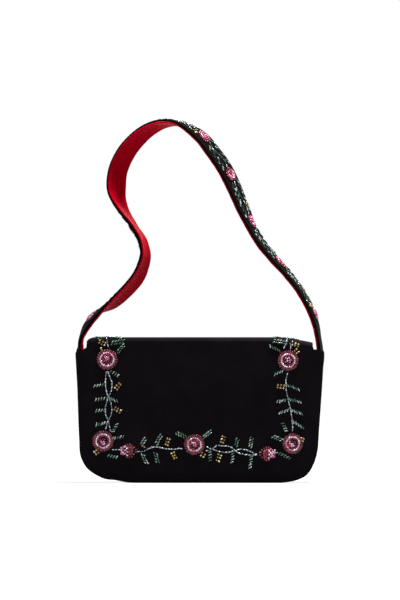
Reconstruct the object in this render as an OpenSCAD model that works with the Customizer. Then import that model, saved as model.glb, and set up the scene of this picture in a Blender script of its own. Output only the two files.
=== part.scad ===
// Baguette evening bag with a beaded flap and one short shoulder strap.
// X runs across the bag, Y from the flap to the back, Z up. The origin is at the centre of the base.

/* [Bag body] */
// Width across the shoulders, where the strap comes out
bag_w = 260; // [230:5:300]
// Depth from the flap's face to the back panel
bag_d = 45; // [40:1:60]
// Height from the base to the top of the closed flap
bag_h = 152; // [140:1:175]
// How far each side draws in between the shoulder and the bottom corner
side_draw = 5.5; // [0:0.5:10]
// Radius of the two bottom corners
corner_r = 42; // [30:1:48]
// Height of the notch beside the flap's neck
notch_h = 13; // [10:1:18]
// Width of each notch
notch_w = 12; // [9:1:16]

/* [Layers] */
// Thickness of the backed outer cloth
cloth_t = 1.2; // [0.8:0.1:1.4]
// Thickness of the stiffening board in the panels and the flap
board_t = 1.2; // [1:0.1:1.4]
// Thickness of the satin lining
lining_t = 0.6; // [0.4:0.1:0.8]
// Thickness of the felt in the gusset, and of the base board
felt_t = 1.6; // [1.2:0.1:2.4]
// Gap between the edge of a board and the lining round it
board_gap = 0.4; // [0.2:0.1:1]

/* [Flap] */
// Outer radius of the cloth where the flap bends
fold_r = 5; // [4.4:0.1:6.5]
// Straight length beside each bend that flexes with it
fold_run = 4; // [2:0.5:7]
// How far the flap's edge stands in from the bag's outline
flap_inset = 1; // [0.5:0.1:3]
// How far the flap's board stops short of its cloth
flap_hem = 2; // [1:0.5:5]
// Gap under the closed flap at the mouth
mouth_gap = 2; // [1.5:0.1:4]

/* [Mouth and pocket] */
// Height of the binding on the front wall's edge
binding_h = 8; // [5:1:15]
// Thickness of the binding
binding_t = 0.6; // [0.4:0.1:0.8]
// Width of the slip pocket on the back lining
pocket_w = 110; // [80:5:140]
// Height of the slip pocket
pocket_h = 80; // [60:5:95]
// Height of the slip pocket's lower edge above the base
pocket_z = 32; // [20:1:40]
// Width of the seam allowance that holds the slip pocket
pocket_seam = 4; // [2:1:8]

/* [Magnetic snap] */
// Height of the snap above the base
snap_z = 38; // [30:1:60]
// Diameter of the socket's housing
socket_dia = 18; // [14:1:20]
// Height of the socket's housing
socket_h = 2.2; // [2:0.1:3]
// Diameter of the hole in the socket
socket_hole_dia = 7.2; // [7:0.1:9]
// Wall of the socket's housing, above and round the magnet
socket_wall = 0.5; // [0.4:0.1:0.8]
// Diameter of the stud's plate
stud_dia = 16; // [12:1:18]
// Thickness of the stud's plate
stud_plate_t = 0.7; // [0.5:0.1:1]
// Diameter of the stud's pin
stud_pin_dia = 5; // [4:0.1:5.2]
// Length of the stud's pin
stud_pin_h = 1.5; // [1:0.1:1.8]
// Free play between the closed halves of the snap
snap_play = 0.1; // [0.1:0.05:0.3]
// Diameter of the washers behind the cloth
washer_dia = 15; // [13:1:18]
// Thickness of the washers
washer_t = 0.6; // [0.4:0.1:0.7]
// Width of the legs that hold each half of the snap
leg_w = 4; // [3:0.5:5]
// Thickness of those legs
leg_t = 0.6; // [0.4:0.1:0.8]
// Distance of each leg from the snap's axis
leg_offset = 5; // [4.5:0.1:5.5]
// Gap round a leg in its slot and round a washer in its recess
leg_gap = 0.1; // [0.05:0.05:0.2]

/* [Strap] */
// Width of the strap
strap_w = 24; // [18:1:28]
// Thickness of the strap's black cloth
strap_cloth_t = 1.6; // [1:0.1:2]
// Thickness of the strap's core
strap_core_t = 1; // [0.6:0.1:1.4]
// Width of the cloth turned over each edge of the core
strap_turn = 1; // [0.6:0.1:2]
// Gap between the strap's layers
strap_layer_gap = 0.1; // [0.05:0.05:0.2]
// How far the strap's lining stops short of its edges
strap_lining_inset = 0.4; // [0.2:0.1:1]
// Height of the strap's crown above the shoulders
strap_rise = 237; // [180:1:300]
// Length of each strap end that is sewn into the gusset
strap_end_len = 25; // [15:1:40]

/* [Beads] */
// Diameter of the round beads
bead_dia = 2.2; // [1.8:0.1:2.4]
// Diameter of the long beads
rod_dia = 1.8; // [1.4:0.1:2]
// Length of the long beads in the leaves
leaf_rod = 4.4; // [3:0.1:5]
// Length of the long beads in the vines
vine_rod = 3.8; // [3:0.1:5]
// Diameter of the roses on the flap
rose_dia = 23; // [20:0.5:26]
// Diameter of the roses on the strap
strap_rose_dia = 15; // [12:0.5:16]
// Length of thread under a bead on the bent strap
bead_lift = 0.4; // [0.3:0.1:0.5]

/* [Hidden] */
$fn = 64;

// Levels and planes that several pieces share
half_w = bag_w / 2;
shoulder_z = bag_h - notch_h;
neck_x = half_w - notch_w;
flap_t = cloth_t + board_t + lining_t;
snap_gap = socket_h + stud_plate_t + snap_play;
flap_y = -bag_d / 2;
flap_back_y = flap_y + flap_t;
front_y = flap_back_y + snap_gap;
back_y = bag_d / 2;
wall_t = cloth_t + board_t + lining_t;
gusset_y = front_y + cloth_t;
gusset_d = back_y - front_y - 2 * cloth_t;
mouth_z = bag_h - flap_t - mouth_gap - binding_t;
fold_z = bag_h - fold_r;
front_fold_y = flap_y + fold_r;
back_fold_y = back_y - fold_r;
wall_top_z = fold_z - fold_run;

// Insets of the layers from the bag's outline, going inwards
felt_in = cloth_t;
lining_out = cloth_t + felt_t;
lining_in = lining_out + lining_t;
board_in = lining_in + board_gap;

// Side line of the outline: its lean, and the centre of the bottom corner
lean = atan(side_draw / (shoulder_z - corner_r));
corner_x = half_w - side_draw - corner_r / cos(lean);

// Strap: its plane, its root in the gusset wall and its whole thickness
strap_y = (front_y + back_y) / 2;
root_x = half_w - felt_in - felt_t / 2;
strap_t = strap_cloth_t + strap_core_t + lining_t;
cloth_v = -strap_t / 2;
core_v = cloth_v + strap_cloth_t;
lining_v = core_v + strap_core_t;

// Route of the strap from the left shoulder over the crown to the right shoulder. Each row has the
// distance across from the middle, the height above the shoulders and the turn of the strap's width
// out of the Y direction, positive where the near edge lies on the outside of the loop.
route = [
    [-124.5, -13, -2], [-128, 0, 0], [-124.5, 13, 2], [-118, 26, -11], [-106.5, 37.5, -4],
    [-91, 49, 20], [-75, 65, 20], [-64.5, 78, 18], [-58.5, 91, 18], [-57, 102, 16],
    [-60, 116, 12], [-68, 130, 9], [-79, 144, 11], [-86, 156, 27], [-88, 170, 44],
    [-86, 187, 46], [-80, 203, 44], [-70, 216, 39], [-57, 228, 29], [-42, 236, 14],
    [-26, 237, 1], [-10.5, 232, -15], [3, 222, -23], [14, 208.5, -28], [26, 191, -31],
    [37, 170.5, -27], [47, 149, -21], [55, 130, -14], [64, 113, -15], [76, 96, -18],
    [90.5, 79.5, -16], [104, 62.5, -15], [115.5, 44, -13], [121.5, 27, -11], [125.5, 12, -7],
    [128, 0, 0], [125.5, -12, 7]
];
route_half_w = route[len(route) - 2].x;
route_rise = max([for (r = route) r.y]);
route_last = len(route) - 3;
// Route length beside each shoulder that flexes when the strap swings, in rows of the route
root_rows = 2;
ring_step = 0.25;

// Places of the strap's roses, in rows of the route
strap_rose_rows = [2.6, 5.1, 7.7, 10.4, 13.1, 15.8, 18.4, 21, 23.4, 25.8, 28.4, 31.4];
strap_gap_rows = [for (k = [0:len(strap_rose_rows) - 3])
    (strap_rose_rows[k] + strap_rose_rows[k + 1]) / 2];
strap_leaf_along = 6;
strap_leaf_across = 5.5;
strap_rod_pitch = 3.4;

// Roses on the flap, across and up
rose_places = [[-96.5, 129], [92, 128], [-101, 43.5], [-6, 41.5], [97, 41.5]];
// Buds on the flap: across, up, and the direction in which the petals open
bud_places = [[-74, 33.5, 0], [70, 31, 180]];
// Single and double vines on the flap, with the places that they pass
single_vines = [
    [[-62, 33.5], [-47, 38], [-30, 35.5], [-19.5, 36]],
    [[91, 114.5], [89.5, 101], [93.5, 81.5], [96, 69], [96.5, 54.5]]
];
double_vines = [
    [[-97, 115], [-95, 90], [-95, 65], [-96, 56.5]],
    [[7.5, 37], [36, 35], [58.5, 31]]
];
vine_spread = 3.6;
vine_join = 1.2;
// Leaves on the flap: across, up, the direction of the leaf and its number of beads
green_leaves = [
    [-106.5, 102, 120, 3], [-105, 87, 125, 3], [-106, 74, 125, 3], [-105, 60.5, 125, 3],
    [-87, 115, 55, 3], [-86, 87.5, 55, 3], [-86, 60, 55, 4], [-82, 50, 40, 3], [-97, 28.5, -20, 3],
    [-84, 139, 45, 3], [-59.5, 24.5, -70, 3], [-42.5, 47, 95, 4], [-44.5, 26, -85, 3],
    [-19.5, 54.5, 100, 3], [9, 52, 45, 3], [12, 26.5, -60, 4], [40, 44.5, 110, 4],
    [34, 24, -110, 4], [54.5, 43.5, 100, 4], [54, 20, -105, 5], [89, 26.5, -45, 3],
    [79, 117, 150, 3], [84.5, 86, 140, 3], [86.5, 73.5, 140, 3], [87, 60, 140, 4],
    [98, 99, 45, 3], [101, 85.5, 45, 3], [103, 72.5, 45, 3], [104.5, 59, 45, 3], [81, 48, 140, 3]
];
gold_leaves = [
    [-106, 140.5, 90, 2], [-85.5, 101, 45, 3], [-85.5, 75, 45, 3], [-108.5, 31.5, 150, 3],
    [-57, 44, 70, 4], [-33, 44, 80, 3], [-26, 27, -80, 3], [2.5, 27.5, -40, 2], [24.5, 48.5, 85, 4],
    [20, 24, -100, 4], [82.5, 101, 130, 3], [109.5, 51, 60, 2], [102, 140, 60, 2]
];
// Leaves on top of the flap, behind its front bend: across, back from the bend and direction
top_leaves = [[-103, 6, 60], [-93, 9, 120], [-84, 6, 45], [82, 6, 120], [93, 9, 60], [103, 6, 120]];
rod_pitch = 2.6;
rod_slant = 42;

// Point between the rows of a list on a smooth curve that passes through every row
function smooth(list, t) =
    let (
        last = len(list) - 1,
        i = min(max(floor(t), 0), last - 1),
        f = t - i,
        a = list[max(i - 1, 0)],
        b = list[i],
        c = list[i + 1],
        d = list[min(i + 2, last)]
    )
    0.5 * (2 * b + (c - a) * f + (2 * a - 5 * b + 4 * c - d) * f * f
        + (3 * b - 3 * c + d - a) * f * f * f);

// Slope of that curve, in distance for each row
function smooth_slope(list, t) =
    let (
        last = len(list) - 1,
        i = min(max(floor(t), 0), last - 1),
        f = t - i,
        a = list[max(i - 1, 0)],
        b = list[i],
        c = list[i + 1],
        d = list[min(i + 2, last)]
    )
    0.5 * (c - a + 2 * (2 * a - 5 * b + 4 * c - d) * f + 3 * (3 * b - 3 * c + d - a) * f * f);

// Centre of the strap at a row of the route, its heading in degrees and its turn
route_scale_x = root_x / route_half_w;
route_scale_z = strap_rise / route_rise;
function strap_point(t) =
    let (r = smooth(route, t + 1))
    [r.x * route_scale_x, strap_y, shoulder_z + r.y * route_scale_z];
function strap_turn_at(t) = smooth(route, t + 1)[2];
function strap_heading(t) =
    let (d = smooth_slope(route, t + 1))
    atan2(d.y * route_scale_z, d.x * route_scale_x);

// Point of the strap's section, u along its width and v towards the inside of the loop
function strap_place(t, u, v) =
    let (
        h = strap_heading(t),
        w = strap_turn_at(t),
        inward = [sin(h), 0, -cos(h)],
        away = [0, 1, 0]
    )
    strap_point(t) + u * (cos(w) * away + sin(w) * inward) + v * (cos(w) * inward - sin(w) * away);

// Places a flat shape, drawn in X and Z, as a sheet from y to y + t
module sheet_at(y, t) {
    translate([0, y + t, 0]) rotate([90, 0, 0]) linear_extrude(height = t) children();
}

// Outline of the bag up to a height, drawn in all round by an inset
module outline(inset, top) {
    r = corner_r - inset;
    side = [corner_x + r * cos(lean), corner_r - r * sin(lean)];
    top_x = side.x + (top - side.y) * tan(lean);
    polygon([
        [-corner_x, inset], [corner_x, inset], side, [top_x, top],
        [-top_x, top], [-side.x, side.y]
    ]);
    for (s = [-1, 1]) translate([s * corner_x, corner_r]) circle(r = r);
}

// Outline with the narrow neck that stands between the two notches
module necked_outline(inset, top) {
    outline(inset, shoulder_z);
    translate([-neck_x, corner_r]) square([2 * neck_x, top - corner_r]);
}

// Band of the gusset between two insets, open at the top
module gusset_band(outer, inner, top) {
    difference() {
        outline(outer, top);
        outline(inner, top + notch_h);
    }
}

// Slots for the two legs of a snap half, or the legs themselves, from y to y + t
module snap_legs(y, t, gap) {
    for (s = [-1, 1])
        translate([s * leg_offset - leg_t / 2 - gap, y, snap_z - leg_w / 2 - gap])
            cube([leg_t + 2 * gap, t, leg_w + 2 * gap]);
}

// Disc round the snap's axis from y to y + t
module snap_disc(dia, y, t) {
    translate([0, y + t, snap_z]) rotate([90, 0, 0]) cylinder(d = dia, h = t);
}

module front_panel() {
    color("#161414") difference() {
        sheet_at(front_y, cloth_t) necked_outline(0, mouth_z);
        snap_legs(front_y - 1, cloth_t + 2, leg_gap);
    }
}

module back_panel() {
    color("#161414") sheet_at(back_y - cloth_t, cloth_t) necked_outline(0, wall_top_z);
}

module gusset() {
    color("#1b1919") sheet_at(gusset_y, gusset_d) gusset_band(0, felt_in, shoulder_z);
}

module front_board() {
    color("#d8d2c4") difference() {
        sheet_at(gusset_y, board_t) necked_outline(board_in, mouth_z);
        snap_legs(gusset_y - 1, board_t + 2, leg_gap);
        snap_disc(washer_dia + 2 * leg_gap, gusset_y + board_t - washer_t, washer_t + 1);
    }
}

module back_board() {
    color("#d8d2c4") sheet_at(back_y - cloth_t - board_t, board_t)
        necked_outline(board_in, wall_top_z);
}

module base_board() {
    color("#b9a888") translate([-corner_x, gusset_y, felt_in])
        cube([2 * corner_x, gusset_d, felt_t]);
}

// Felt of the gusset's sides and corners, with a pocket on each side for the strap's sewn end
module gusset_felt() {
    color("#8d8880") difference() {
        sheet_at(gusset_y, gusset_d) difference() {
            gusset_band(felt_in, lining_out, shoulder_z);
            translate([-corner_x, 0]) square([2 * corner_x, corner_r]);
        }
        translate([-half_w, strap_y - strap_w / 2, shoulder_z - strap_end_len])
            cube([bag_w, strap_w, strap_end_len + 1]);
    }
}

module front_lining() {
    color("#b3122a") sheet_at(gusset_y + board_t, lining_t) necked_outline(lining_in, mouth_z);
}

module back_lining() {
    color("#b3122a") sheet_at(back_y - wall_t, lining_t) necked_outline(lining_in, wall_top_z);
}

module gusset_lining() {
    color("#a80f26") sheet_at(gusset_y, gusset_d) gusset_band(lining_out, lining_in, shoulder_z);
}

// Cloth binding folded over the top edge of the front wall
module mouth_binding() {
    color("#1b1919") difference() {
        translate([-neck_x, front_y - binding_t, mouth_z - binding_h])
            cube([2 * neck_x, wall_t + 2 * binding_t, binding_h + binding_t]);
        translate([-half_w, front_y, mouth_z - binding_h - 1])
            cube([bag_w, wall_t, binding_h + 1]);
    }
}

module inner_pocket() {
    color("#b3122a") difference() {
        translate([-pocket_w / 2, back_y - wall_t - 2 * lining_t, pocket_z])
            cube([pocket_w, 2 * lining_t, pocket_h]);
        translate([-pocket_w / 2 + pocket_seam, back_y - wall_t - lining_t, pocket_z + pocket_seam])
            cube([pocket_w - 2 * pocket_seam, lining_t + 1, pocket_h]);
    }
}

// Socket of the magnetic snap: a cup with a hole for the stud and two legs through the cloth
module snap_socket() {
    color("#c9b27a") {
        difference() {
            snap_disc(socket_dia, front_y - socket_h, socket_h);
            snap_disc(socket_hole_dia, front_y - socket_h - 1, socket_h - socket_wall + 1);
            difference() {
                snap_disc(socket_dia - 2 * socket_wall, front_y - socket_h + socket_wall,
                    socket_h - 2 * socket_wall);
                snap_disc(socket_hole_dia + 2 * socket_wall, front_y - socket_h, socket_h);
            }
        }
        snap_legs(front_y, cloth_t + board_t, 0);
    }
}

module socket_magnet() {
    color("#4a4a4c") difference() {
        snap_disc(socket_dia - 2 * socket_wall, front_y - socket_h + socket_wall,
            socket_h - 2 * socket_wall);
        snap_disc(socket_hole_dia + 2 * socket_wall, front_y - socket_h, socket_h);
    }
}

module socket_washer() {
    color("#b9bbbd") difference() {
        snap_disc(washer_dia, gusset_y + board_t - washer_t, washer_t);
        snap_legs(gusset_y, board_t + 1, leg_gap);
    }
}

// End of the strap that is sewn between the gusset's cloth and lining, on one side
module strap_end(side) {
    color("#161414") sheet_at(strap_y - strap_w / 2, strap_w) intersection() {
        gusset_band(felt_in, lining_out, shoulder_z);
        translate([min(0, side * half_w), shoulder_z - strap_end_len])
            square([half_w, strap_end_len]);
    }
}

module left_strap_end() {
    strap_end(-1);
}

module right_strap_end() {
    strap_end(1);
}

// Strip of the strap between two rows of the route, swept from a four-sided section
module strap_strip(from, to, half_width, v0, v1) {
    steps = round((to - from) / ring_step);
    section = [[-half_width, v0], [half_width, v0], [half_width, v1], [-half_width, v1]];
    sweep_strap([for (i = [0:steps]) from + (to - from) * i / steps], section,
        [[0, 1, 2, 3]]);
}

// Solid swept along the rows of the strap. The caps list splits the section into convex faces, and
// faces that lie on each other are cut along the same diagonal.
module sweep_strap(rows, section, caps) {
    n = len(section);
    last = (len(rows) - 1) * n;
    polyhedron(
        points = [for (t = rows) for (p = section) strap_place(t, p.x, p.y)],
        faces = concat(
            [for (c = caps) [for (k = [len(c) - 1:-1:0]) c[k]]],
            [for (c = caps) [for (k = c) last + k]],
            [for (i = [0:len(rows) - 2]) for (k = [0:n - 1])
                let (a = i * n + k, b = i * n + (k + 1) % n)
                for (f = section[(k + 1) % n].x >= section[k].x
                    ? [[a, b, b + n], [a, b + n, a + n]]
                    : [[a, b, a + n], [b, b + n, a + n]]) f]
        )
    );
}

module left_strap_root() {
    color("#161414") strap_strip(0, root_rows, strap_w / 2, cloth_v, -cloth_v);
}

module right_strap_root() {
    color("#161414") strap_strip(route_last - root_rows, route_last, strap_w / 2, cloth_v, -cloth_v);
}

// Black cloth of the strap, turned over both edges of the core
module strap_cloth() {
    a = strap_w / 2;
    b = a - strap_turn;
    from = root_rows;
    to = route_last - root_rows;
    steps = round((to - from) / ring_step);
    color("#161414") sweep_strap(
        [for (i = [0:steps]) from + (to - from) * i / steps],
        [[-a, cloth_v], [a, cloth_v], [a, lining_v], [b, lining_v],
            [b, core_v], [-b, core_v], [-b, lining_v], [-a, lining_v]],
        [[0, 1, 4, 5], [1, 2, 3, 4], [0, 5, 6, 7]]
    );
}

module strap_core() {
    color("#cfc8b8") strap_strip(root_rows, route_last - root_rows,
        strap_w / 2 - strap_turn - strap_layer_gap, core_v + strap_layer_gap,
        lining_v - strap_layer_gap);
}

module strap_lining() {
    color("#b3122a") strap_strip(root_rows, route_last - root_rows,
        strap_w / 2 - strap_lining_inset, lining_v + strap_layer_gap, -cloth_v);
}

// Quarter bend of one layer round a fold, with its straight run below; side is -1 at the front
module fold_layer(y, side, outer_r, t) {
    translate([-neck_x, y, fold_z]) rotate([90, 0, 90]) linear_extrude(height = 2 * neck_x) {
        intersection() {
            difference() {
                circle(r = outer_r);
                circle(r = outer_r - t);
            }
            translate([min(0, side * fold_r), 0]) square([fold_r, fold_r]);
        }
        translate([side * (outer_r - t / 2) - t / 2, -fold_run]) square([t, fold_run]);
    }
}

module back_fold_cloth() {
    color("#161414") fold_layer(back_fold_y, 1, fold_r, cloth_t);
}

module back_fold_lining() {
    color("#b3122a") fold_layer(back_fold_y, 1, fold_r - cloth_t - board_t, lining_t);
}

module front_fold_cloth() {
    color("#161414") fold_layer(front_fold_y, -1, fold_r, cloth_t);
}

module front_fold_lining() {
    color("#b3122a") fold_layer(front_fold_y, -1, fold_r - cloth_t - board_t, lining_t);
}

// Flat layer of the flap's top, a depth below its outer face
module flap_top_layer(depth, t) {
    translate([-neck_x, front_fold_y, bag_h - depth - t])
        cube([2 * neck_x, back_fold_y - front_fold_y, t]);
}

module flap_top_cloth() {
    color("#161414") flap_top_layer(0, cloth_t);
}

module flap_top_felt() {
    color("#8d8880") flap_top_layer(cloth_t, board_t);
}

module flap_top_lining() {
    color("#b3122a") flap_top_layer(cloth_t + board_t, lining_t);
}

module flap_cloth() {
    color("#161414") sheet_at(flap_y, cloth_t) necked_outline(flap_inset, wall_top_z);
}

module flap_board() {
    color("#d8d2c4") difference() {
        sheet_at(flap_y + cloth_t, board_t) difference() {
            necked_outline(flap_inset + flap_hem, wall_top_z);
            for (s = [-1, 1]) translate([s * half_w, shoulder_z])
                square([2 * (notch_w + flap_hem), 2 * flap_hem], center = true);
        }
        snap_legs(flap_y, flap_t, leg_gap);
        snap_disc(washer_dia + 2 * leg_gap, flap_y + cloth_t - 1, washer_t + 1);
    }
}

module flap_lining() {
    color("#b3122a") difference() {
        sheet_at(flap_back_y - lining_t, lining_t) necked_outline(flap_inset, wall_top_z);
        snap_legs(flap_y, flap_t + 1, leg_gap);
    }
}

// Stud of the magnetic snap: a plate with a pin, and two legs through the flap's lining and board
module snap_stud() {
    color("#c9b27a") {
        snap_disc(stud_dia, flap_back_y, stud_plate_t);
        snap_disc(stud_pin_dia, flap_back_y, stud_plate_t + stud_pin_h);
        snap_legs(flap_y + cloth_t, flap_t - cloth_t, 0);
    }
}

module stud_washer() {
    color("#b9bbbd") difference() {
        snap_disc(washer_dia, flap_y + cloth_t, washer_t);
        snap_legs(flap_y, flap_t, leg_gap);
    }
}

// Turns beadwork drawn flat so that it lies on the flap's face at a place across and up
module on_flap(x, z) {
    translate([x, flap_y, z]) rotate([90, 0, 0]) children();
}

// Turns a bead drawn flat so that it lies on the strap's outer face, u off its middle
module on_strap(t, u) {
    translate(strap_place(t, u, cloth_v - bead_lift))
        rotate([-strap_turn_at(t), -strap_heading(t), 0]) children();
}

// Long bead lying on the cloth, centred, along X
module rod(length) {
    translate([-length / 2, 0, rod_dia / 2]) rotate([0, 90, 0]) cylinder(d = rod_dia, h = length);
}

// Ring of round beads, as one closed ring set into a backing
module bead_ring(r) {
    rotate_extrude() translate([r, bead_dia * 0.6]) circle(d = bead_dia);
}

// Rose of three bead rings round a bead centre on a thin backing
module rose(dia) {
    outer = dia / 2 - bead_dia / 2;
    cylinder(r = outer, h = bead_dia / 3);
    for (k = [1:3]) bead_ring(outer - (3 - k) * bead_dia * 1.4);
    translate([0, 0, bead_dia * 0.7]) sphere(d = bead_dia * 1.4);
}

// Row of slanted long beads, which is one leaf
module leaf(dir, count) {
    for (i = [0:count - 1])
        rotate(dir) translate([(i - (count - 1) / 2) * rod_pitch, 0, 0]) rotate(rod_slant)
            rod(leaf_rod);
}

// Vine of long beads through a list of places, a spread to one side between them
module vine(places, side) {
    count = round(vine_length(places) / (vine_rod + rod_dia / 4));
    for (i = [0:count - 1]) {
        a = vine_place(places, i / count, side);
        b = vine_place(places, (i + 1) / count, side);
        m = (a + b) / 2;
        on_flap(m.x, m.y) rotate(atan2(b.y - a.y, b.x - a.x)) rod(norm(b - a) - rod_dia / 2);
    }
}

// Straight length from place to place along a vine
function vine_length(places, i = 0) =
    i >= len(places) - 1 ? 0 : norm(places[i + 1] - places[i]) + vine_length(places, i + 1);

// Place on a vine at a share of its rows, moved out to a side between the rows
function vine_place(places, share, side) =
    let (
        t = share * (len(places) - 1),
        a = smooth(places, t - 0.01),
        b = smooth(places, t + 0.01),
        n = [a.y - b.y, b.x - a.x] / norm(b - a)
    )
    smooth(places, t) + side * (vine_join + vine_spread * abs(sin(180 * t))) * n;

module flap_roses() {
    color("#b8436a") for (p = rose_places) on_flap(p.x, p.y) rose(rose_dia);
}

// Buds: a small rose with a fan of long petal beads
module flap_buds() {
    bud_r = rose_dia / 4;
    color("#c0506f") for (p = bud_places) on_flap(p.x, p.y) rotate(p[2]) {
        cylinder(r = bud_r - bead_dia / 2, h = bead_dia / 3);
        bead_ring(bud_r - bead_dia / 2);
        translate([0, 0, bead_dia * 0.7]) sphere(d = bead_dia * 1.4);
        for (a = [-60:30:60]) rotate(a) translate([bud_r + leaf_rod / 2 + rod_dia / 4, 0, 0])
            rod(leaf_rod);
    }
}

module flap_vine() {
    color("#aab2b4") {
        for (v = single_vines) vine(v, 0);
        for (v = double_vines) for (s = [-1, 1]) vine(v, s);
    }
}

module flap_green_leaves() {
    color("#2f8f5b") for (p = green_leaves) on_flap(p.x, p.y) leaf(p[2], p[3]);
}

module flap_gold_leaves() {
    color("#b39345") for (p = gold_leaves) on_flap(p.x, p.y) leaf(p[2], p[3]);
}

module flap_top_beads() {
    color("#2f8f5b") for (p = top_leaves)
        translate([p.x, front_fold_y + p.y, bag_h]) leaf(p[2], 3);
}

// Length of the route's row at a place, to turn millimetres along the strap into rows
function row_len(t) = norm(strap_point(t + 0.5) - strap_point(t - 0.5));

// Roses of the strap: a centre bead and a ring of beads, each seated on the bent strap
module strap_roses() {
    big = bead_dia * 1.6;
    ring_r = (strap_rose_dia - big) / 2;
    color("#b8436a") for (t = strap_rose_rows) {
        on_strap(t, 0) translate([0, 0, big / 2]) sphere(d = big);
        for (a = [0:45:315])
            on_strap(t + ring_r * cos(a) / row_len(t), ring_r * sin(a))
                translate([0, 0, big / 2]) sphere(d = big);
    }
}

// Long beads of the strap's vine, midway between two roses
module strap_vine() {
    color("#aab2b4") for (t = strap_gap_rows) for (k = [-1:1])
        on_strap(t + k * (vine_rod + rod_dia / 2) / row_len(t), 0) rod(vine_rod);
}

// Leaf of slanted long beads beside the strap's vine, along from the middle of each gap
module strap_leaves(along, across) {
    for (t = strap_gap_rows) for (k = [-1:1])
        on_strap(t + (along + k * strap_rod_pitch) / row_len(t), across)
            rotate(across > 0 ? rod_slant : -rod_slant) rod(leaf_rod);
}

module strap_green_leaves() {
    color("#2f8f5b") {
        strap_leaves(-strap_leaf_along, strap_leaf_across);
        strap_leaves(strap_leaf_along, -strap_leaf_across);
    }
}

module strap_gold_leaves() {
    color("#b39345") {
        strap_leaves(-strap_leaf_along, -strap_leaf_across);
        strap_leaves(strap_leaf_along, strap_leaf_across);
    }
}

front_panel();
back_panel();
gusset();
front_board();
back_board();
base_board();
gusset_felt();
front_lining();
back_lining();
gusset_lining();
mouth_binding();
inner_pocket();
snap_socket();
socket_magnet();
socket_washer();
left_strap_end();
right_strap_end();
left_strap_root();
right_strap_root();
back_fold_cloth();
back_fold_lining();
flap_top_cloth();
flap_top_felt();
flap_top_lining();
flap_top_beads();
front_fold_cloth();
front_fold_lining();
flap_cloth();
flap_board();
flap_lining();
snap_stud();
stud_washer();
flap_roses();
flap_buds();
flap_vine();
flap_green_leaves();
flap_gold_leaves();
strap_cloth();
strap_core();
strap_lining();
strap_roses();
strap_vine();
strap_green_leaves();
strap_gold_leaves();
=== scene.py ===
import math

import bpy
import numpy as np
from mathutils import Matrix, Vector


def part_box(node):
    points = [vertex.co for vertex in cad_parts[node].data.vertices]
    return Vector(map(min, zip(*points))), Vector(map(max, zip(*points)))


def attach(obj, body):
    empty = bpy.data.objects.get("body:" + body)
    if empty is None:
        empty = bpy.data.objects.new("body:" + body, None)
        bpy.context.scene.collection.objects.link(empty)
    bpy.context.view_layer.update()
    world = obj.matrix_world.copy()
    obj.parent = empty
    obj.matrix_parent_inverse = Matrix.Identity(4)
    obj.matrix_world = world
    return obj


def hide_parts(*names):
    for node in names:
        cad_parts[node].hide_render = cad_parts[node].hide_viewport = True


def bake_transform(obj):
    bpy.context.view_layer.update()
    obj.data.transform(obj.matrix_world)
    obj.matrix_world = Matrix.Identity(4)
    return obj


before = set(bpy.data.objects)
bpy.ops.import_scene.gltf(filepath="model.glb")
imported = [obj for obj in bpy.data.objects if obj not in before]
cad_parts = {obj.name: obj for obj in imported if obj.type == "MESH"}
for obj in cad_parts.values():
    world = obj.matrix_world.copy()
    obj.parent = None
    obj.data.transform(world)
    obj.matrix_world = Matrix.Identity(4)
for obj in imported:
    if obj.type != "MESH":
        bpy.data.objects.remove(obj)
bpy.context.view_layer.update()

# Camera, lamps and floor. The bag is seen level and from far off through a long lens, on a pale floor.
# The strongest lamp hangs over the bag and lights the strap's satin where it faces up.
photo_height_mm = 627.6
photo_centre_mm = (0.3, 191.1)
photo_plane_mm = -10.0
lens_mm, sensor_mm = 250.0, 36.0
camera_distance_mm = photo_height_mm * lens_mm / sensor_mm

camera_data = bpy.data.cameras.new("camera")
camera_data.lens, camera_data.sensor_width = lens_mm, sensor_mm
camera_data.clip_start, camera_data.clip_end = 0.1, 50.0
camera = bpy.data.objects.new("camera", camera_data)
camera.location = (photo_centre_mm[0] / 1000, (photo_plane_mm - camera_distance_mm) / 1000,
                   photo_centre_mm[1] / 1000)
camera.rotation_euler = (math.pi / 2, 0, 0)
bpy.context.scene.collection.objects.link(camera)
bpy.context.scene.camera = camera
bpy.context.scene.view_settings.view_transform = "Standard"

# Each softbox: its place, the point that it faces, the length of its side in metres, and its watts.
for name, place, aim, size, watts in (
        ("overhead_softbox", (0.3, 0.0, 1.7), (0, 0, 0.2), 0.5, 64),
        ("front_left_softbox", (-1.6, -1.8, 1.3), (0, 0, 0.15), 0.5, 6),
        ("front_right_softbox", (1.5, -1.8, 1.4), (0, 0, 0.15), 0.5, 2),
        ("rear_softbox", (0.6, 2.0, 1.2), (0, 0, 0.15), 1.0, 8)):
    lamp_data = bpy.data.lights.new(name, "AREA")
    lamp_data.size, lamp_data.energy = size, watts
    lamp = bpy.data.objects.new(name, lamp_data)
    lamp.location = place
    lamp.rotation_euler = (Vector(aim) - Vector(place)).to_track_quat("-Z", "Y").to_euler()
    bpy.context.scene.collection.objects.link(lamp)


def node(tree, kind, inputs=None, **settings):
    """Adds one shader node. Settings are its properties. Inputs are sockets by name or number, each given
    a value, an output socket to link to, or a node whose first output is meant."""
    made = tree.nodes.new(kind)
    for name, value in settings.items():
        setattr(made, name, value)
    for name, value in (inputs or {}).items():
        if isinstance(value, bpy.types.Node):
            value = value.outputs[0]
        if isinstance(value, bpy.types.NodeSocket):
            tree.links.new(value, made.inputs[name])
        else:
            made.inputs[name].default_value = value
    return made


def linear(hex_colour):
    """The linear red, green, blue and alpha of an sRGB hex colour."""
    srgb = [int(hex_colour[i:i + 2], 16) / 255 for i in (1, 3, 5)]
    return [c / 12.92 if c <= 0.04045 else ((c + 0.055) / 1.055) ** 2.4 for c in srgb] + [1.0]


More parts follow.
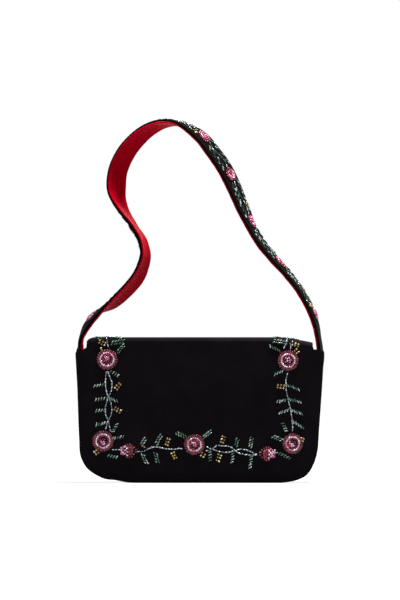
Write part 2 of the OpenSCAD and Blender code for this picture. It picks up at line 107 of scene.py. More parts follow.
def empty_tree(owner):
    """The shader tree of a world or a material, cleared of the nodes that it starts with."""
    owner.use_nodes = True
    owner.node_tree.nodes.clear()
    return owner.node_tree


def shown_rays(tree):
    """Says 1 for rays that show a surface directly, in a mirror or through glass, and 0 for the rest."""
    path = node(tree, "ShaderNodeLightPath")
    seen = node(tree, "ShaderNodeMath", {0: path.outputs["Is Camera Ray"], 1: path.outputs["Is Glossy Ray"]},
                operation="MAXIMUM")
    through = path.outputs["Is Transmission Ray"]
    return node(tree, "ShaderNodeMath", {0: seen, 1: through}, operation="MAXIMUM")


world = bpy.data.worlds.new("white_studio")
bpy.context.scene.world = world
tree = empty_tree(world)
ambient = node(tree, "ShaderNodeBackground", {"Color": linear("#ffffff"), "Strength": 0.05})
paper_white = node(tree, "ShaderNodeBackground", {"Color": linear("#ffffff"), "Strength": 1.0})
sky = node(tree, "ShaderNodeMixShader", {0: shown_rays(tree), 1: ambient, 2: paper_white})
node(tree, "ShaderNodeOutputWorld", {"Surface": sky})

# The floor glows a little more with its distance from the bag, so that it runs into the white behind.
floor_material = bpy.data.materials.new("pale_paper_floor")
tree = empty_tree(floor_material)
paper = node(tree, "ShaderNodeBsdfDiffuse", {"Color": linear("#868686")})
place = node(tree, "ShaderNodeTexCoord").outputs["Object"]
distance = node(tree, "ShaderNodeVectorMath", {0: place}, operation="LENGTH").outputs["Value"]
level = node(tree, "ShaderNodeMapRange", {0: distance, 1: 0.2, 2: 1.3, 3: 0.84, 4: 1.0},
             interpolation_type="SMOOTHSTEP")
glow = node(tree, "ShaderNodeEmission", {"Color": linear("#ffffff"), "Strength": level})
no_glow = node(tree, "ShaderNodeEmission", {"Strength": 0.0})
shown_glow = node(tree, "ShaderNodeMixShader", {0: shown_rays(tree), 1: no_glow, 2: glow})
glowing_paper = node(tree, "ShaderNodeAddShader", {0: paper, 1: shown_glow})
node(tree, "ShaderNodeOutputMaterial", {"Surface": glowing_paper})

floor_mesh = bpy.data.meshes.new("floor")
floor_mesh.from_pydata([(-6, -3, 0), (6, -3, 0), (6, 6, 0), (-6, 6, 0)], [], [(0, 1, 2, 3)])
floor_mesh.materials.append(floor_material)
floor = bpy.data.objects.new("floor", floor_mesh)
bpy.context.scene.collection.objects.link(floor)


# The front wall of the bag: black silk crepe over a stiffening board, cut to the bag's outline with a
# narrow neck between two notches. Its sides and foot are turned back into the gusset's seam.
def corners(name):
    """Lowest and highest corner of a CAD node, in millimetres."""
    low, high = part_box(name)
    return np.array(low) * 1000, np.array(high) * 1000


gusset_low, gusset_high = corners("gusset")
flap_low, flap_high = corners("flap_cloth")
top_low, top_high = corners("flap_top_cloth")
half_w, shoulder_z = gusset_high[0], gusset_high[2]
neck_x, bag_h = top_high[0], top_high[2]
fold_r = top_low[1] - flap_low[1]
fold_z = bag_h - fold_r
front_y, flap_y = corners("front_panel")[0][1], flap_low[1]
back_y = corners("back_panel")[1][1]
mouth_z = corners("front_panel")[1][2]
corner_x = corners("base_board")[1][0]
corner_r = 42.0
lean = math.atan((half_w - corner_x - corner_r) / (shoulder_z - corner_r))
cloth_t, board_t, lining_t = 1.2, 1.2, 0.6
turned_w, turned_d = 3.0, 1.6


def blend_step(x, a, b):
    """Smooth step from 0 at a to 1 at b."""
    t = np.clip((x - a) / (b - a), 0, 1)
    return t * t * (3 - 2 * t)


def side_at(z):
    """Half of the bag's width at a height, on the leaning straight side."""
    return half_w - (shoulder_z - z) * math.tan(lean)


def edge_distance(x, z):
    """Distance inwards from the bag's outline: from the bottom corner's arc, the base or the side,
    whichever is nearest."""
    across = np.abs(x)
    in_corner = (across > corner_x) & (z < corner_r)
    arc = corner_r - np.hypot(across - corner_x, corner_r - z)
    flat = np.minimum((side_at(z) - across) * math.cos(lean), z)
    return np.where(in_corner, arc, flat)


def free_edge_distance(x, z):
    """Distance inwards from the whole cut edge, with the notch's floor and the neck's side."""
    across = np.abs(x)
    corner = np.hypot(np.minimum(across - neck_x, 0), np.minimum(z - shoulder_z, 0))
    floor_d = np.where(across > neck_x, shoulder_z - z, corner)
    neck_d = np.where(z > shoulder_z, neck_x - across, floor_d)
    return np.minimum(edge_distance(x, z), np.abs(neck_d))


def turned_edge(x, z):
    """How far back the edge is turned: a quarter of an ellipse of the distance from the outline."""
    share = 1 - np.clip(edge_distance(x, z) / turned_w, 0, 1)
    return turned_d * (1 - np.sqrt(1 - share ** 2))


def droop(x, z):
    """How far the neck's soft ends hang down: a round corner 8.5 mm wide on the left, and a slope of the
    power 1.5 over 38 mm on the right, both growing from the shoulder's height to the mouth's."""
    left = np.clip((-x - 110.5) / 8.5, 0, 0.995)
    right = np.clip((x - 80) / 38, 0, 1)
    end = 7.5 * (1 - np.sqrt(1 - left ** 2)) + 5.4 * right ** 1.5
    return end * blend_step(z, shoulder_z, mouth_z)


def outline_grid(inset, top, neck_inset=0.0):
    """Grid of places across and up that fills the bag's outline. Its rows go up the bottom corner's arc,
    the side, the shoulder's small arc, the notch's floor and the neck. Each is as wide as the outline
    there, with columns close together near both edges."""
    r, shoulder_r, notch_r = corner_r - inset, 5.0, 1.6
    turn = np.linspace(0, math.pi / 2 - lean, 24)
    bend, notch_bend = np.linspace(0, math.pi / 2, 7)[1:], np.linspace(0, math.pi / 2, 5)[1:]
    corner_z = corner_r - r * np.cos(turn)
    side_z = np.linspace(corner_z[-1], shoulder_z - shoulder_r, 26)[1:]
    side_x = side_at(side_z) - inset / math.cos(lean)
    shoulder_x = side_x[-1] - shoulder_r * (1 - np.cos(bend))
    shoulder_up = side_z[-1] + shoulder_r * np.sin(bend)
    neck = neck_x - neck_inset
    notch_x = neck + notch_r * (1 - np.sin(notch_bend))
    notch_up = shoulder_z + notch_r * (1 - np.cos(notch_bend))
    neck_z = np.linspace(notch_up[-1], top, max(3, int((top - notch_up[-1]) / 0.9)))[1:]
    xs = np.concatenate([corner_x + r * np.sin(turn), side_x, shoulder_x, notch_x,
                         np.full(len(neck_z), neck)])
    zs = np.concatenate([corner_z, side_z, shoulder_up, notch_up, neck_z])
    first = len(turn) + len(side_z)
    last = first + len(bend) + len(notch_x)
    middle = zs.copy()
    middle[first:last] = np.linspace(zs[first - 1], zs[last], last - first + 2)[1:-1]
    near_edge = np.array([0.0, 0.35, 0.9, 1.8, 3.2, 5.2, 8.0]) / half_w
    share = np.concatenate([near_edge, np.linspace(near_edge[-1], 1, 26)[1:]])
    u = np.concatenate([share - 1, (1 - share)[-2::-1]])[None, :]
    ramp = blend_step(np.abs(u), 0.8, 1.0)
    return xs[:, None] * u, middle[:, None] + (zs - middle)[:, None] * ramp


def put_mesh(name, points, faces, uv=None, tint=None):
    """Makes an object of four-sided faces from whole arrays, smooth all over. Points and the UV map,
    which is given for each point, are in millimetres. The tint is a colour that the material reads."""
    mesh = bpy.data.meshes.new(name)
    mesh.vertices.add(len(points))
    mesh.vertices.foreach_set("co", (np.asarray(points) / 1000).astype(np.float32).ravel())
    mesh.loops.add(faces.size)
    mesh.loops.foreach_set("vertex_index", faces.astype(np.int32).ravel())
    mesh.polygons.add(len(faces))
    mesh.polygons.foreach_set("loop_start", np.arange(0, faces.size, 4, dtype=np.int32))
    mesh.polygons.foreach_set("use_smooth", np.ones(len(faces), bool))
    mesh.update(calc_edges=True)
    if uv is not None:
        layer = mesh.uv_layers.new(name="cloth")
        layer.data.foreach_set("uv", (uv / 1000)[faces.ravel()].astype(np.float32).ravel())
    if tint is not None:
        colours = mesh.color_attributes.new("tint", "FLOAT_COLOR", "POINT")
        colours.data.foreach_set("color", tint.astype(np.float32).ravel())
    mesh.validate()
    made = bpy.data.objects.new(name, mesh)
    bpy.context.scene.collection.objects.link(made)
    return made


def thick_sheet(name, outer, inner, cloth, flip=False, rim=0.45):
    """Closed mesh between two grids of points in millimetres. The rim between them has one middle row,
    pushed out by a share of the thickness, so that the edge is round. Cloth holds the two cloth
    coordinates of each grid point, which become the UV map."""
    rows, cols = outer.shape[:2]
    index = np.arange(rows * cols).reshape(rows, cols)
    loop = np.concatenate([index[0, :-1], index[:-1, -1], index[-1, :0:-1], index[:0:-1, 0]])
    inside = np.clip(np.stack(np.unravel_index(loop, (rows, cols))), 1, [[rows - 2], [cols - 2]])
    centre = (outer + inner) / 2
    away = centre.reshape(-1, 3)[loop] - centre[inside[0], inside[1]]
    away /= np.linalg.norm(away, axis=1)[:, None] + 1e-9
    thickness = np.linalg.norm(outer.reshape(-1, 3)[loop] - inner.reshape(-1, 3)[loop], axis=1)
    middle = centre.reshape(-1, 3)[loop] + away * (rim * thickness)[:, None]
    points = np.concatenate([outer.reshape(-1, 3), inner.reshape(-1, 3), middle])
    count = rows * cols
    front = np.stack([index[:-1, :-1], index[:-1, 1:], index[1:, 1:], index[1:, :-1]], -1).reshape(-1, 4)
    mid = 2 * count + np.arange(len(loop))
    next_loop, next_mid = np.roll(loop, -1), np.roll(mid, -1)
    faces = np.concatenate([front, front[:, ::-1] + count,
                            np.stack([loop, mid, next_mid, next_loop], 1),
                            np.stack([mid, loop + count, next_loop + count, next_mid], 1)])
    if flip:
        faces = faces[:, ::-1]
    uv = np.stack([part.ravel() for part in cloth], 1)
    return put_mesh(name, points, faces, np.concatenate([uv, uv, uv[loop]]))


def laid_sheet(name, surface, grid, near, far, flip=False, rim=0.45):
    """Closed sheet over a grid of places on a surface, between two depths behind its face."""
    return thick_sheet(name, surface(*grid, near), surface(*grid, far), grid, flip, rim)


def dress(piece, material, slot_name, moves_with, *nodes, bend=None):
    """Finishes a piece: gives it its material and hides the CAD nodes that it stands for. Without a bend it
    is parented to the empty of the body that it rides on; with one, its place is baked into its points, and
    neither the bend's values nor the bodies are read. The slot name is not used."""
    piece.data.materials.append(material)
    if bend:
        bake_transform(piece)
    else:
        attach(piece, moves_with)
    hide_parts(*nodes)


def new_material(name):
    """A material without nodes, and its tree."""
    made = bpy.data.materials.new(name)
    return made, empty_tree(made)


def finished(made, inputs):
    """The material, with a Principled shader of these inputs wired to its output."""
    shader = node(made.node_tree, "ShaderNodeBsdfPrincipled", inputs)
    node(made.node_tree, "ShaderNodeOutputMaterial", {"Surface": shader})
    return made


def thread_height(tree, coordinate, pitch_mm, turn):
    """Height of one set of parallel threads: the absolute sine of a distance over the thread pitch,
    along the first or the second cloth coordinate."""
    parts = node(tree, "ShaderNodeSeparateXYZ", {0: coordinate})
    phase = node(tree, "ShaderNodeMath", {0: parts.outputs[turn], 1: math.pi * 1000 / pitch_mm},
                 operation="MULTIPLY")
    wave = node(tree, "ShaderNodeMath", {0: phase}, operation="SINE")
    return node(tree, "ShaderNodeMath", {0: wave}, operation="ABSOLUTE")


def silk_crepe(name, dark, light):
    """Black silk crepe: highly twisted yarn gives a fine pebbled, matt face with a faint sheen. The
    yarn pitch of 0.4 mm is drawn at 0.9 mm so that it shows."""
    made, tree = new_material(name)
    cloth = node(tree, "ShaderNodeUVMap", uv_map="cloth")
    weave = node(tree, "ShaderNodeMath",
                 {0: thread_height(tree, cloth, 0.9, 0), 1: thread_height(tree, cloth, 0.9, 1)},
                 operation="MULTIPLY")
    pebble = node(tree, "ShaderNodeTexNoise",
                  {"Vector": cloth, "Scale": 900.0, "Detail": 3.0, "Roughness": 0.6})
    cloudy = node(tree, "ShaderNodeTexNoise",
                  {"Vector": cloth, "Scale": 38.0, "Detail": 2.0, "Roughness": 0.5})
    shade = node(tree, "ShaderNodeMath", {0: weave, 1: 0.35, 2: cloudy}, operation="MULTIPLY_ADD")
    colour = node(tree, "ShaderNodeMix", {0: shade, 6: linear(dark), 7: linear(light)}, data_type="RGBA")
    rough = node(tree, "ShaderNodeMapRange", {0: pebble, 3: 0.62, 4: 0.82})
    fine = node(tree, "ShaderNodeMath", {0: pebble, 1: 0.8, 2: weave}, operation="MULTIPLY_ADD")
    bump = node(tree, "ShaderNodeBump", {"Strength": 0.35, "Distance": 0.0002, "Height": fine})
    return finished(made, {"Base Color": colour.outputs[2], "Roughness": rough, "Specular IOR Level": 0.01,
                           "Sheen Weight": 0.01, "Sheen Roughness": 0.5, "Normal": bump})


def ripple(x, z, size):
    """Slow waves of a hand-sewn cloth: the sum of three sine waves of unlike lengths and directions."""
    waves = np.sin(x / 17 + z / 29) + np.sin(x / 31 - z / 19 + 1.3) + np.sin(x / 47 + z / 11 + 2.1)
    return size * waves / 3


def slack_corners(x, z):
    """Moves places across and up where the sewn corners have lost their shape: outwards from the corner
    arc's centre by a slack in millimetres, a sum of smooth steps and bell curves of the run along the
    edge, counted from where the base's straight run ends. It fades with the square of the distance to
    the arc and higher up. The left notch also closes by 2.4 mm a little above its floor."""
    out, down = np.maximum(np.abs(x) - corner_x, 0), np.maximum(corner_r - z, 0)
    turn = np.arctan2(out, down + 1e-6)
    run = corner_r * turn - np.maximum(corner_x - np.abs(x), 0)
    left = (2.3 * blend_step(run, 22, 42) - 1.1 * blend_step(run, 50, 66)
            - 2.4 * np.exp(-((run - 6) / 10) ** 2))
    right = 2.7 * np.exp(-((run - 29) / 13) ** 2) - 0.6 * blend_step(run, 42, 60)
    slack = np.where(x < 0, left, right) * np.clip(np.hypot(out, down) / corner_r, 0, 1) ** 2
    slack = slack * (1 - blend_step(z, 45, 110))
    closed = blend_step(z, 138.95, 140.2) * (1 - blend_step(z, 141, 146))
    notch = 2.4 * closed * blend_step(-x, 110, 117) * (1 - blend_step(-x, 119, 122))
    return x + np.sign(x) * slack * np.sin(turn) - notch, z - slack * np.cos(turn)


def front_wall(x, z, depth):
    """Points of the front wall, a depth behind its face."""
    y = front_y + depth + turned_edge(x, z) + ripple(x, z, 0.15)
    moved_x, moved_z = slack_corners(x, z)
    return np.stack([moved_x, y, moved_z - droop(x, z)], -1)


crepe = silk_crepe("black_silk_crepe", "#120f13", "#211c22")
x, z = outline_grid(0.0, mouth_z)
# Along the notch and the neck the crepe is turned in over the board's edge, so it is thicker there.
turned_in = (1 - blend_step(free_edge_distance(x, z), 1.4, 2.2)) * blend_step(edge_distance(x, z), 2, 4)
front_cloth = laid_sheet("front_panel_crepe", front_wall, (x, z), 0, cloth_t + (board_t - 0.05) * turned_in)
dress(front_cloth, crepe, "black_cloth", "bag", "front_panel")


# The back wall and the flap's back bend: one length of the same crepe. It bows out a little, and from
# the neck it goes on round the bend to the middle of the bag's top, where it meets the flap's crepe.
bend_length = fold_r * math.pi / 2
top_middle = fold_z + bend_length + (back_y - fold_r)


def fold_path(q, depth):
    """Distance along the cloth to a place round a bend: straight up to the bend's centre, then a quarter
    circle of the bend's radius less the depth, then level. Gives how far the place lies in from the
    wall's face, and its height."""
    turn = np.clip((q - fold_z) / fold_r, 0, math.pi / 2)
    level = np.maximum(q - fold_z - bend_length, 0)
    r = fold_r - depth
    return fold_r - r * np.cos(turn) + level, np.minimum(q, fold_z) + r * np.sin(turn)


def top_sag(inward):
    """The flap's top sinks by 0.7 mm between its two bends: a parabola of the distance from the middle."""
    return 0.7 * np.clip(1 - ((back_y - inward) / (back_y - fold_r)) ** 2, 0, 1)


def back_wall(x, q, depth):
    """Points of the back wall's cloth at a distance across and a distance up, with a bow of 2 mm."""
    inward, z = fold_path(q, depth)
    turned = turned_edge(x, np.minimum(q, shoulder_z))
    bow = 2.0 * np.clip(1 - (x / 126) ** 2, 0, 1) * np.sin(np.clip(q / 145, 0, 1) * math.pi) ** 1.2
    y = back_y - inward - turned + bow + ripple(x, q, 0.2) * blend_step(-q, -fold_z, -120)
    moved_x, moved_z = slack_corners(x, z)
    return np.stack([moved_x, y, moved_z - droop(x, q) - top_sag(inward)], -1)


x, q = outline_grid(0.0, top_middle)
turned_in = 1 - blend_step(free_edge_distance(x, q), 1.4, 2.2)
turned_in = turned_in * np.where(q < shoulder_z - 2, blend_step(edge_distance(x, q), 2, 4), 1)
back_cloth = laid_sheet("back_panel_crepe", back_wall, (x, q), 0, cloth_t + (board_t - 0.05) * turned_in,
                        flip=True, rim=0.0)
# Each bend's line is given nearly level; the pieces given it are only baked where they stand.
back_bend = dict(start=(0, (back_y - fold_r + 3.15) / 1000, (fold_z - 1.5) / 1000),
                 end=(0, (back_y - fold_r + 0.45) / 1000, (fold_z - 0.2) / 1000))
dress(back_cloth, crepe, "black_cloth", ("bag", "flap_top"), "back_panel", "back_fold_cloth", bend=back_bend)


# The gusset: one strip of crepe that joins front and back along the sides and the base. It is drawn in
# at both seams, sinks in along the sides, and its two upper ends are turned in round the strap.
seam_overlap = 0.2
gusset_front = front_y + turned_d + cloth_t - seam_overlap
gusset_back = back_y - turned_d - cloth_t + seam_overlap
strap_y = (front_y + back_y) / 2
gusset_rise = 4.0
seam_steps = np.array([0, 0.3, 0.7, 1.2, 1.8, 2.6, 4.0, 6.0])
gusset_y = np.concatenate([gusset_front + seam_steps, np.linspace(gusset_front + 8, gusset_back - 8, 9),
                           (gusset_back - seam_steps)[::-1]])


def gusset_rows(inset, rise):
    """Rows round the U of the bag's outline, from the left shoulder down, along the base and up to the
    right shoulder: points across and up, and the direction outwards at each."""
    turn = np.linspace(0, math.pi / 2 - lean, 20)
    side_z = np.concatenate([np.linspace(corner_r - corner_r * math.sin(lean), shoulder_z - 8, 26)[1:],
                             np.linspace(shoulder_z - 7, shoulder_z + rise, 10)])
    flat_x = np.linspace(0, corner_x, 22)[:-1]
    x = np.concatenate([flat_x, corner_x + (corner_r - inset) * np.sin(turn),
                        side_at(side_z) - inset / math.cos(lean)])
    z = np.concatenate([np.full(len(flat_x), inset), corner_r - (corner_r - inset) * np.cos(turn), side_z])
    out_x = np.concatenate([np.zeros(len(flat_x)), np.sin(turn), np.full(len(side_z), math.cos(lean))])
    out_z = np.concatenate([np.full(len(flat_x), -1.0), -np.cos(turn), np.full(len(side_z), -math.sin(lean))])
    right = np.array([x, z, out_x, out_z])
    left = right[:, :0:-1] * np.array([-1, 1, -1, 1])[:, None]
    return np.concatenate([left, right], 1)


def gusset_wall(rows, lining=0.0):
    """Points of the gusset: the U carried across the bag's depth. It goes in by 1 mm at both seams and
    by a sine arch of 2.6 mm along each side. Its upper ends close in on the strap: the left one stands
    up to its full rise, and the right one is pressed down level with the shoulder and bulges. The lining
    lies further in at the top, where the strap's end is sewn in between."""
    x, z, out_x, out_z = rows[:, :, None]
    y = gusset_y[None, :]
    seam = np.minimum(y - gusset_front, gusset_back - y)
    groove = 1.0 * (1 - blend_step(seam, 0, 2.4))
    hollow = 2.6 * np.sin(np.clip((z - 14) / 100, 0, 1) * math.pi) * blend_step(seam, 0, 14) * np.abs(out_x)
    left_tuck = 2.7 * np.clip((z - 133) / 10, 0, 1) ** 2.2
    right_tuck = (1.3 * np.clip((z - 137) / 6, 0, 1) ** 2
                  - 0.8 * np.sin(np.clip((z - 118) / 25, 0, 1) * math.pi))
    dip = 2.8 * np.clip(np.abs(y - strap_y) / 18, 0, 1) ** 2 * blend_step(z, 130, shoulder_z + gusset_rise)
    tuck = np.where(x > 0, right_tuck, left_tuck)
    pressed = np.where(x > 0, np.maximum(z - 128, 0) * 0.25, dip)
    inward = groove + hollow + (lining * blend_step(z, 125, shoulder_z) if lining else tuck)
    x, z = slack_corners(x - out_x * inward, z - out_z * inward - (0 if lining else pressed))
    return np.stack([x, np.broadcast_to(y, x.shape), z], -1)


def gusset_strip(name, outer_inset, inner_inset, rise, lining=0.0):
    """Closed strip of the gusset between two insets, and its length along the U."""
    rows = gusset_rows(outer_inset, rise)
    run = np.concatenate([[0], np.cumsum(np.hypot(np.diff(rows[0]), np.diff(rows[1])))])
    made = thick_sheet(name, gusset_wall(rows, lining), gusset_wall(gusset_rows(inner_inset, rise), lining),
                       np.meshgrid(gusset_y, run), flip=True)
    return made, run[-1]


gusset_cloth = gusset_strip("gusset_crepe", 0.0, cloth_t, gusset_rise)[0]
dress(gusset_cloth, crepe, "black_cloth", "bag", "gusset")


# Stiffening: pulp board in both walls and in the flap, a board in the base, and felt in the gusset and
# the flap's top. All of it lies hidden between the crepe and the lining, cut short of the turned edges.
def pressed_board():
    """Pressed cardboard: buff pulp with darker specks."""
    made, tree = new_material("buff_pulp_board")
    place = node(tree, "ShaderNodeTexCoord").outputs["Object"]
    specks = node(tree, "ShaderNodeTexNoise", {"Vector": place, "Scale": 1400.0, "Detail": 4.0})
    colour = node(tree, "ShaderNodeMix", {0: specks, 6: linear("#a99a7c"), 7: linear("#d9cfb8")},
                  data_type="RGBA")
    return finished(made, {"Base Color": colour.outputs[2], "Roughness": 0.9})


def wool_felt():
    """Grey wool felt: matted fibres, soft and dull."""
    made, tree = new_material("grey_wool_felt")
    place = node(tree, "ShaderNodeTexCoord").outputs["Object"]
    fibres = node(tree, "ShaderNodeTexNoise",
                  {"Vector": place, "Scale": 700.0, "Detail": 6.0, "Roughness": 0.8})
    colour = node(tree, "ShaderNodeMix", {0: fibres, 6: linear("#5f5b55"), 7: linear("#a19c93")},
                  data_type="RGBA")
    bump = node(tree, "ShaderNodeBump", {"Strength": 0.5, "Distance": 0.0002, "Height": fibres})
    return finished(made, {"Base Color": colour.outputs[2], "Roughness": 0.95, "Normal": bump})


board, felt = pressed_board(), wool_felt()
board_inset, board_neck_inset = corners("front_board")[0][2], 1.6
near_face, far_face = cloth_t + 0.03, cloth_t + board_t - 0.03
front_board = laid_sheet("front_wall_board", front_wall,
                         outline_grid(board_inset, mouth_z - 0.7, board_neck_inset), near_face, far_face)
back_board = laid_sheet("back_wall_board", back_wall, outline_grid(board_inset, fold_z - 4, board_neck_inset),
                        near_face, far_face, flip=True)
dress(front_board, board, "board", "bag", "front_board")
dress(back_board, board, "board", "bag", "back_board")


def base_points(x, y, height):
    """Points of the base board at a height, moved with the slack of the bag's corners."""
    moved_x, moved_z = slack_corners(x, np.full_like(x, height))
    return np.stack([moved_x, y, moved_z], -1)


base_low, base_high = corners("base_board")
x, y = np.meshgrid(np.linspace(base_low[0], base_high[0], 60), np.linspace(base_low[1], base_high[1], 12))
base_board = laid_sheet("base_stiffening_board", base_points, (x, y), base_low[2], base_high[2], flip=True)
dress(base_board, board, "board", "bag", "base_board")

felt_outer, felt_inner = gusset_rows(cloth_t + 0.05, 0), gusset_rows(cloth_t + 1.55, 0)
felt_rows = (felt_outer[0] > 0) & (felt_outer[1] >= corner_r) & (felt_outer[1] < shoulder_z - 25.5)
for word, side in (("right", 1), ("left", -1)):
    mirror = np.array([side, 1, side, 1])[:, None]
    outer, inner = felt_outer[:, felt_rows] * mirror, felt_inner[:, felt_rows] * mirror
    gusset_felt = thick_sheet(f"{word}_gusset_felt", gusset_wall(outer), gusset_wall(inner),
                              np.meshgrid(gusset_y, outer[1]), flip=side > 0)
    dress(gusset_felt, felt, "felt", "bag", "gusset_felt")


# The lining: red silk satin inside the walls and the gusset, and a slip pocket of the same satin on the
# back wall. The satin's long floats of thread run up the bag and give it a soft lengthways gloss.
def silk_satin():
    """Red silk satin: long floats give a smooth face whose highlight stretches across the threads. The
    float pitch of 0.25 mm is drawn at 0.8 mm so that it shows."""
    made, tree = new_material("red_silk_satin")
    cloth = node(tree, "ShaderNodeUVMap", uv_map="cloth")
    floats = thread_height(tree, cloth, 0.8, 0)
    crumple = node(tree, "ShaderNodeTexNoise",
                   {"Vector": cloth, "Scale": 60.0, "Detail": 3.0, "Roughness": 0.45})
    shade = node(tree, "ShaderNodeMath", {0: floats, 1: 0.2, 2: crumple}, operation="MULTIPLY_ADD")
    colour = node(tree, "ShaderNodeMix", {0: shade, 6: linear("#c4001f"), 7: linear("#dc0024")},
                  data_type="RGBA")
    fine = node(tree, "ShaderNodeMath", {0: floats, 1: 0.25, 2: crumple}, operation="MULTIPLY_ADD")
    bump = node(tree, "ShaderNodeBump", {"Strength": 0.15, "Distance": 0.0003, "Height": fine})
    return finished(made, {"Base Color": colour.outputs[2], "Roughness": 0.42, "Anisotropic": 0.5,
                           "Specular IOR Level": 0.01, "Normal": bump})


satin = silk_satin()
lining_depth = cloth_t + board_t
lining_far = lining_depth + lining_t
lining_inset, lining_neck_inset = 3.4, 0.3
front_lining = laid_sheet("front_lining_satin", front_wall,
                          outline_grid(lining_inset, mouth_z - 0.1, lining_neck_inset),
                          lining_depth, lining_far)
back_lining = laid_sheet("back_lining_satin", back_wall,
                         outline_grid(lining_inset, top_middle, lining_neck_inset),
                         lining_depth, lining_far, flip=True)
gusset_lining, gusset_run = gusset_strip("gusset_lining_satin", lining_inset - lining_t, lining_inset,
                                         rise=-1.0, lining=6.0)
# The pocket lies flat on the lining at its foot and stands off by 1.6 mm in the middle of its mouth.
pocket_low, pocket_high = corners("inner_pocket")
x, q = np.meshgrid(np.linspace(pocket_low[0], pocket_high[0], 41),
                   np.linspace(pocket_low[2], pocket_high[2], 31))
pout = (1.6 * np.cos(x / pocket_high[0] * math.pi / 2) ** 0.6
        * blend_step(q, pocket_low[2] + 8, pocket_high[2]))
pocket = laid_sheet("slip_pocket_satin", back_wall, (x, q), lining_far + 0.1 + pout, lining_far + 0.6 + pout,
                    flip=True)
dress(front_lining, satin, "red_satin", "bag", "front_lining")
dress(gusset_lining, satin, "red_satin", "bag", "gusset_lining")
dress(pocket, satin, "red_satin", "bag", "inner_pocket")
dress(back_lining, satin, "red_satin", ("bag", "flap_top"), "back_lining", "back_fold_lining", bend=back_bend)


# The binding: a strip of crepe folded over the front wall's upper edge and sewn through, so that the
# mouth's front edge is neat and doesn't fray.
binding_low, binding_high = corners("mouth_binding")
binding_r = (binding_high[1] - binding_low[1]) / 2
binding_top = 0.8
binding_side = binding_high[2] - binding_top - binding_low[2]
binding_length = 2 * binding_side + math.pi * binding_r


def binding_points(x, s, depth):
    """Points of the binding at a distance along the folded strip: down the face, over the edge in half
    an ellipse and down inside, moved in by a depth, and hanging at its ends as the wall does."""
    turn = np.clip((s - binding_side) / binding_r, 0, math.pi)
    y = (binding_low[1] + binding_high[1]) / 2 - (binding_r - depth) * np.cos(turn)
    up = np.minimum(s, binding_side) - np.maximum(s - binding_side - math.pi * binding_r, 0)
    z = binding_low[2] + up + (binding_r - depth) * binding_top / binding_r * np.sin(turn)
    return np.stack([x, y, z - droop(x, z)], -1)


s, x = np.meshgrid(np.linspace(0, binding_length, 34), np.linspace(-neck_x + 0.2, neck_x - 0.2, 80))
binding = laid_sheet("mouth_binding_crepe", binding_points, (x, s), 0, 0.5, flip=True)
dress(binding, crepe, "black_cloth", "bag", "mouth_binding")


# The magnetic snap: a brass-plated socket with its ferrite magnet on the front wall, a brass-plated stud
# on the flap, and a steel washer behind each, over which the two legs are bent.
def plated_metal(name, dark, bright, metallic, roughness):
    """A metal finish with fine rubbing marks: its roughness varies with a fine noise."""
    made, tree = new_material(name)
    place = node(tree, "ShaderNodeTexCoord").outputs["Object"]
    marks = node(tree, "ShaderNodeTexNoise", {"Vector": place, "Scale": 900.0, "Detail": 3.0})
    colour = node(tree, "ShaderNodeMix", {0: marks, 6: linear(dark), 7: linear(bright)}, data_type="RGBA")
    rough = node(tree, "ShaderNodeMapRange", {0: marks, 3: roughness - 0.08, 4: roughness + 0.08})
    return finished(made, {"Base Color": colour.outputs[2], "Roughness": rough, "Metallic": metallic})


brass = plated_metal("polished_brass_plate", "#b89a52", "#dcc27c", 1.0, 0.24)
steel = plated_metal("zinc_plated_steel", "#9b9fa3", "#c8cbce", 1.0, 0.34)
ferrite = plated_metal("dark_ferrite", "#2b2b2e", "#45464a", 0.2, 0.6)
for name, finish in (("snap_socket", brass), ("snap_stud", brass), ("socket_washer", steel),
                     ("stud_washer", steel), ("socket_magnet", ferrite)):
    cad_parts[name].data.materials.clear()
    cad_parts[name].data.materials.append(finish)


# The flap: crepe over a board with a satin lining, which covers the whole front. It comes from the middle
# of the bag's top, goes round the front bend and hangs over the front wall, with its edges curved in.
flap_inset = half_w - flap_high[0]


def flap_face(x, q, depth):
    """Points of the flap at a distance across and up the cloth, a depth behind its face: the front
    bend's path with a belly of 1.6 mm and edges that curve back by 2.7 mm, nearly to the front wall.
    Its slow waves leave out the snap's place."""
    inward, z = fold_path(q, depth)
    d = edge_distance(x, np.minimum(q, shoulder_z)) - flap_inset
    curved = 2.7 * (1 - blend_step(d, -1, 13)) ** 1.6
    belly = 1.6 * np.clip(1 - (x / 124) ** 2, 0, 1) * np.sin(np.clip((q - 52) / 94, 0, 1) * math.pi) ** 1.5
    wave = ripple(x + 40, q, 0.22) * blend_step(-q, -fold_z, -125) * blend_step(np.hypot(x, q - 38), 12, 30)
    moved_x, moved_z = slack_corners(x, z)
    y = flap_y + inward + curved - belly + wave
    return np.stack([moved_x, y, moved_z - droop(x, q) - top_sag(inward)], -1)


front_bend = dict(start=(0, (flap_y + fold_r - 0.45) / 1000, (fold_z - 0.2) / 1000),
                  end=(0, (flap_y + fold_r - 3.15) / 1000, (fold_z - 1.5) / 1000))
x, q = outline_grid(flap_inset, top_middle)
turned_in = 1 - blend_step(np.minimum(free_edge_distance(x, q), edge_distance(x, q) - flap_inset), 1.3, 1.9)
flap_cloth = laid_sheet("flap_crepe", flap_face, (x, q), 0,
                        cloth_t + (board_t + lining_t - 0.05) * turned_in, rim=0.0)
flap_lining = laid_sheet("flap_lining_satin", flap_face, outline_grid(flap_inset + 1.7, top_middle, 1.7),
                         lining_depth, lining_far)
dress(flap_cloth, crepe, "black_cloth", ("flap_top", "flap_front"),
      "flap_cloth", "front_fold_cloth", "flap_top_cloth", bend=front_bend)
dress(flap_lining, satin, "red_satin", ("flap_top", "flap_front"),
      "flap_lining", "front_fold_lining", "flap_top_lining", bend=front_bend)
flap_board = laid_sheet("flap_stiffening_board", flap_face,
                        outline_grid(flap_inset + 2.0, fold_z - 4.2, 2.0), near_face, far_face)
dress(flap_board, board, "board", "flap_front", "flap_board")
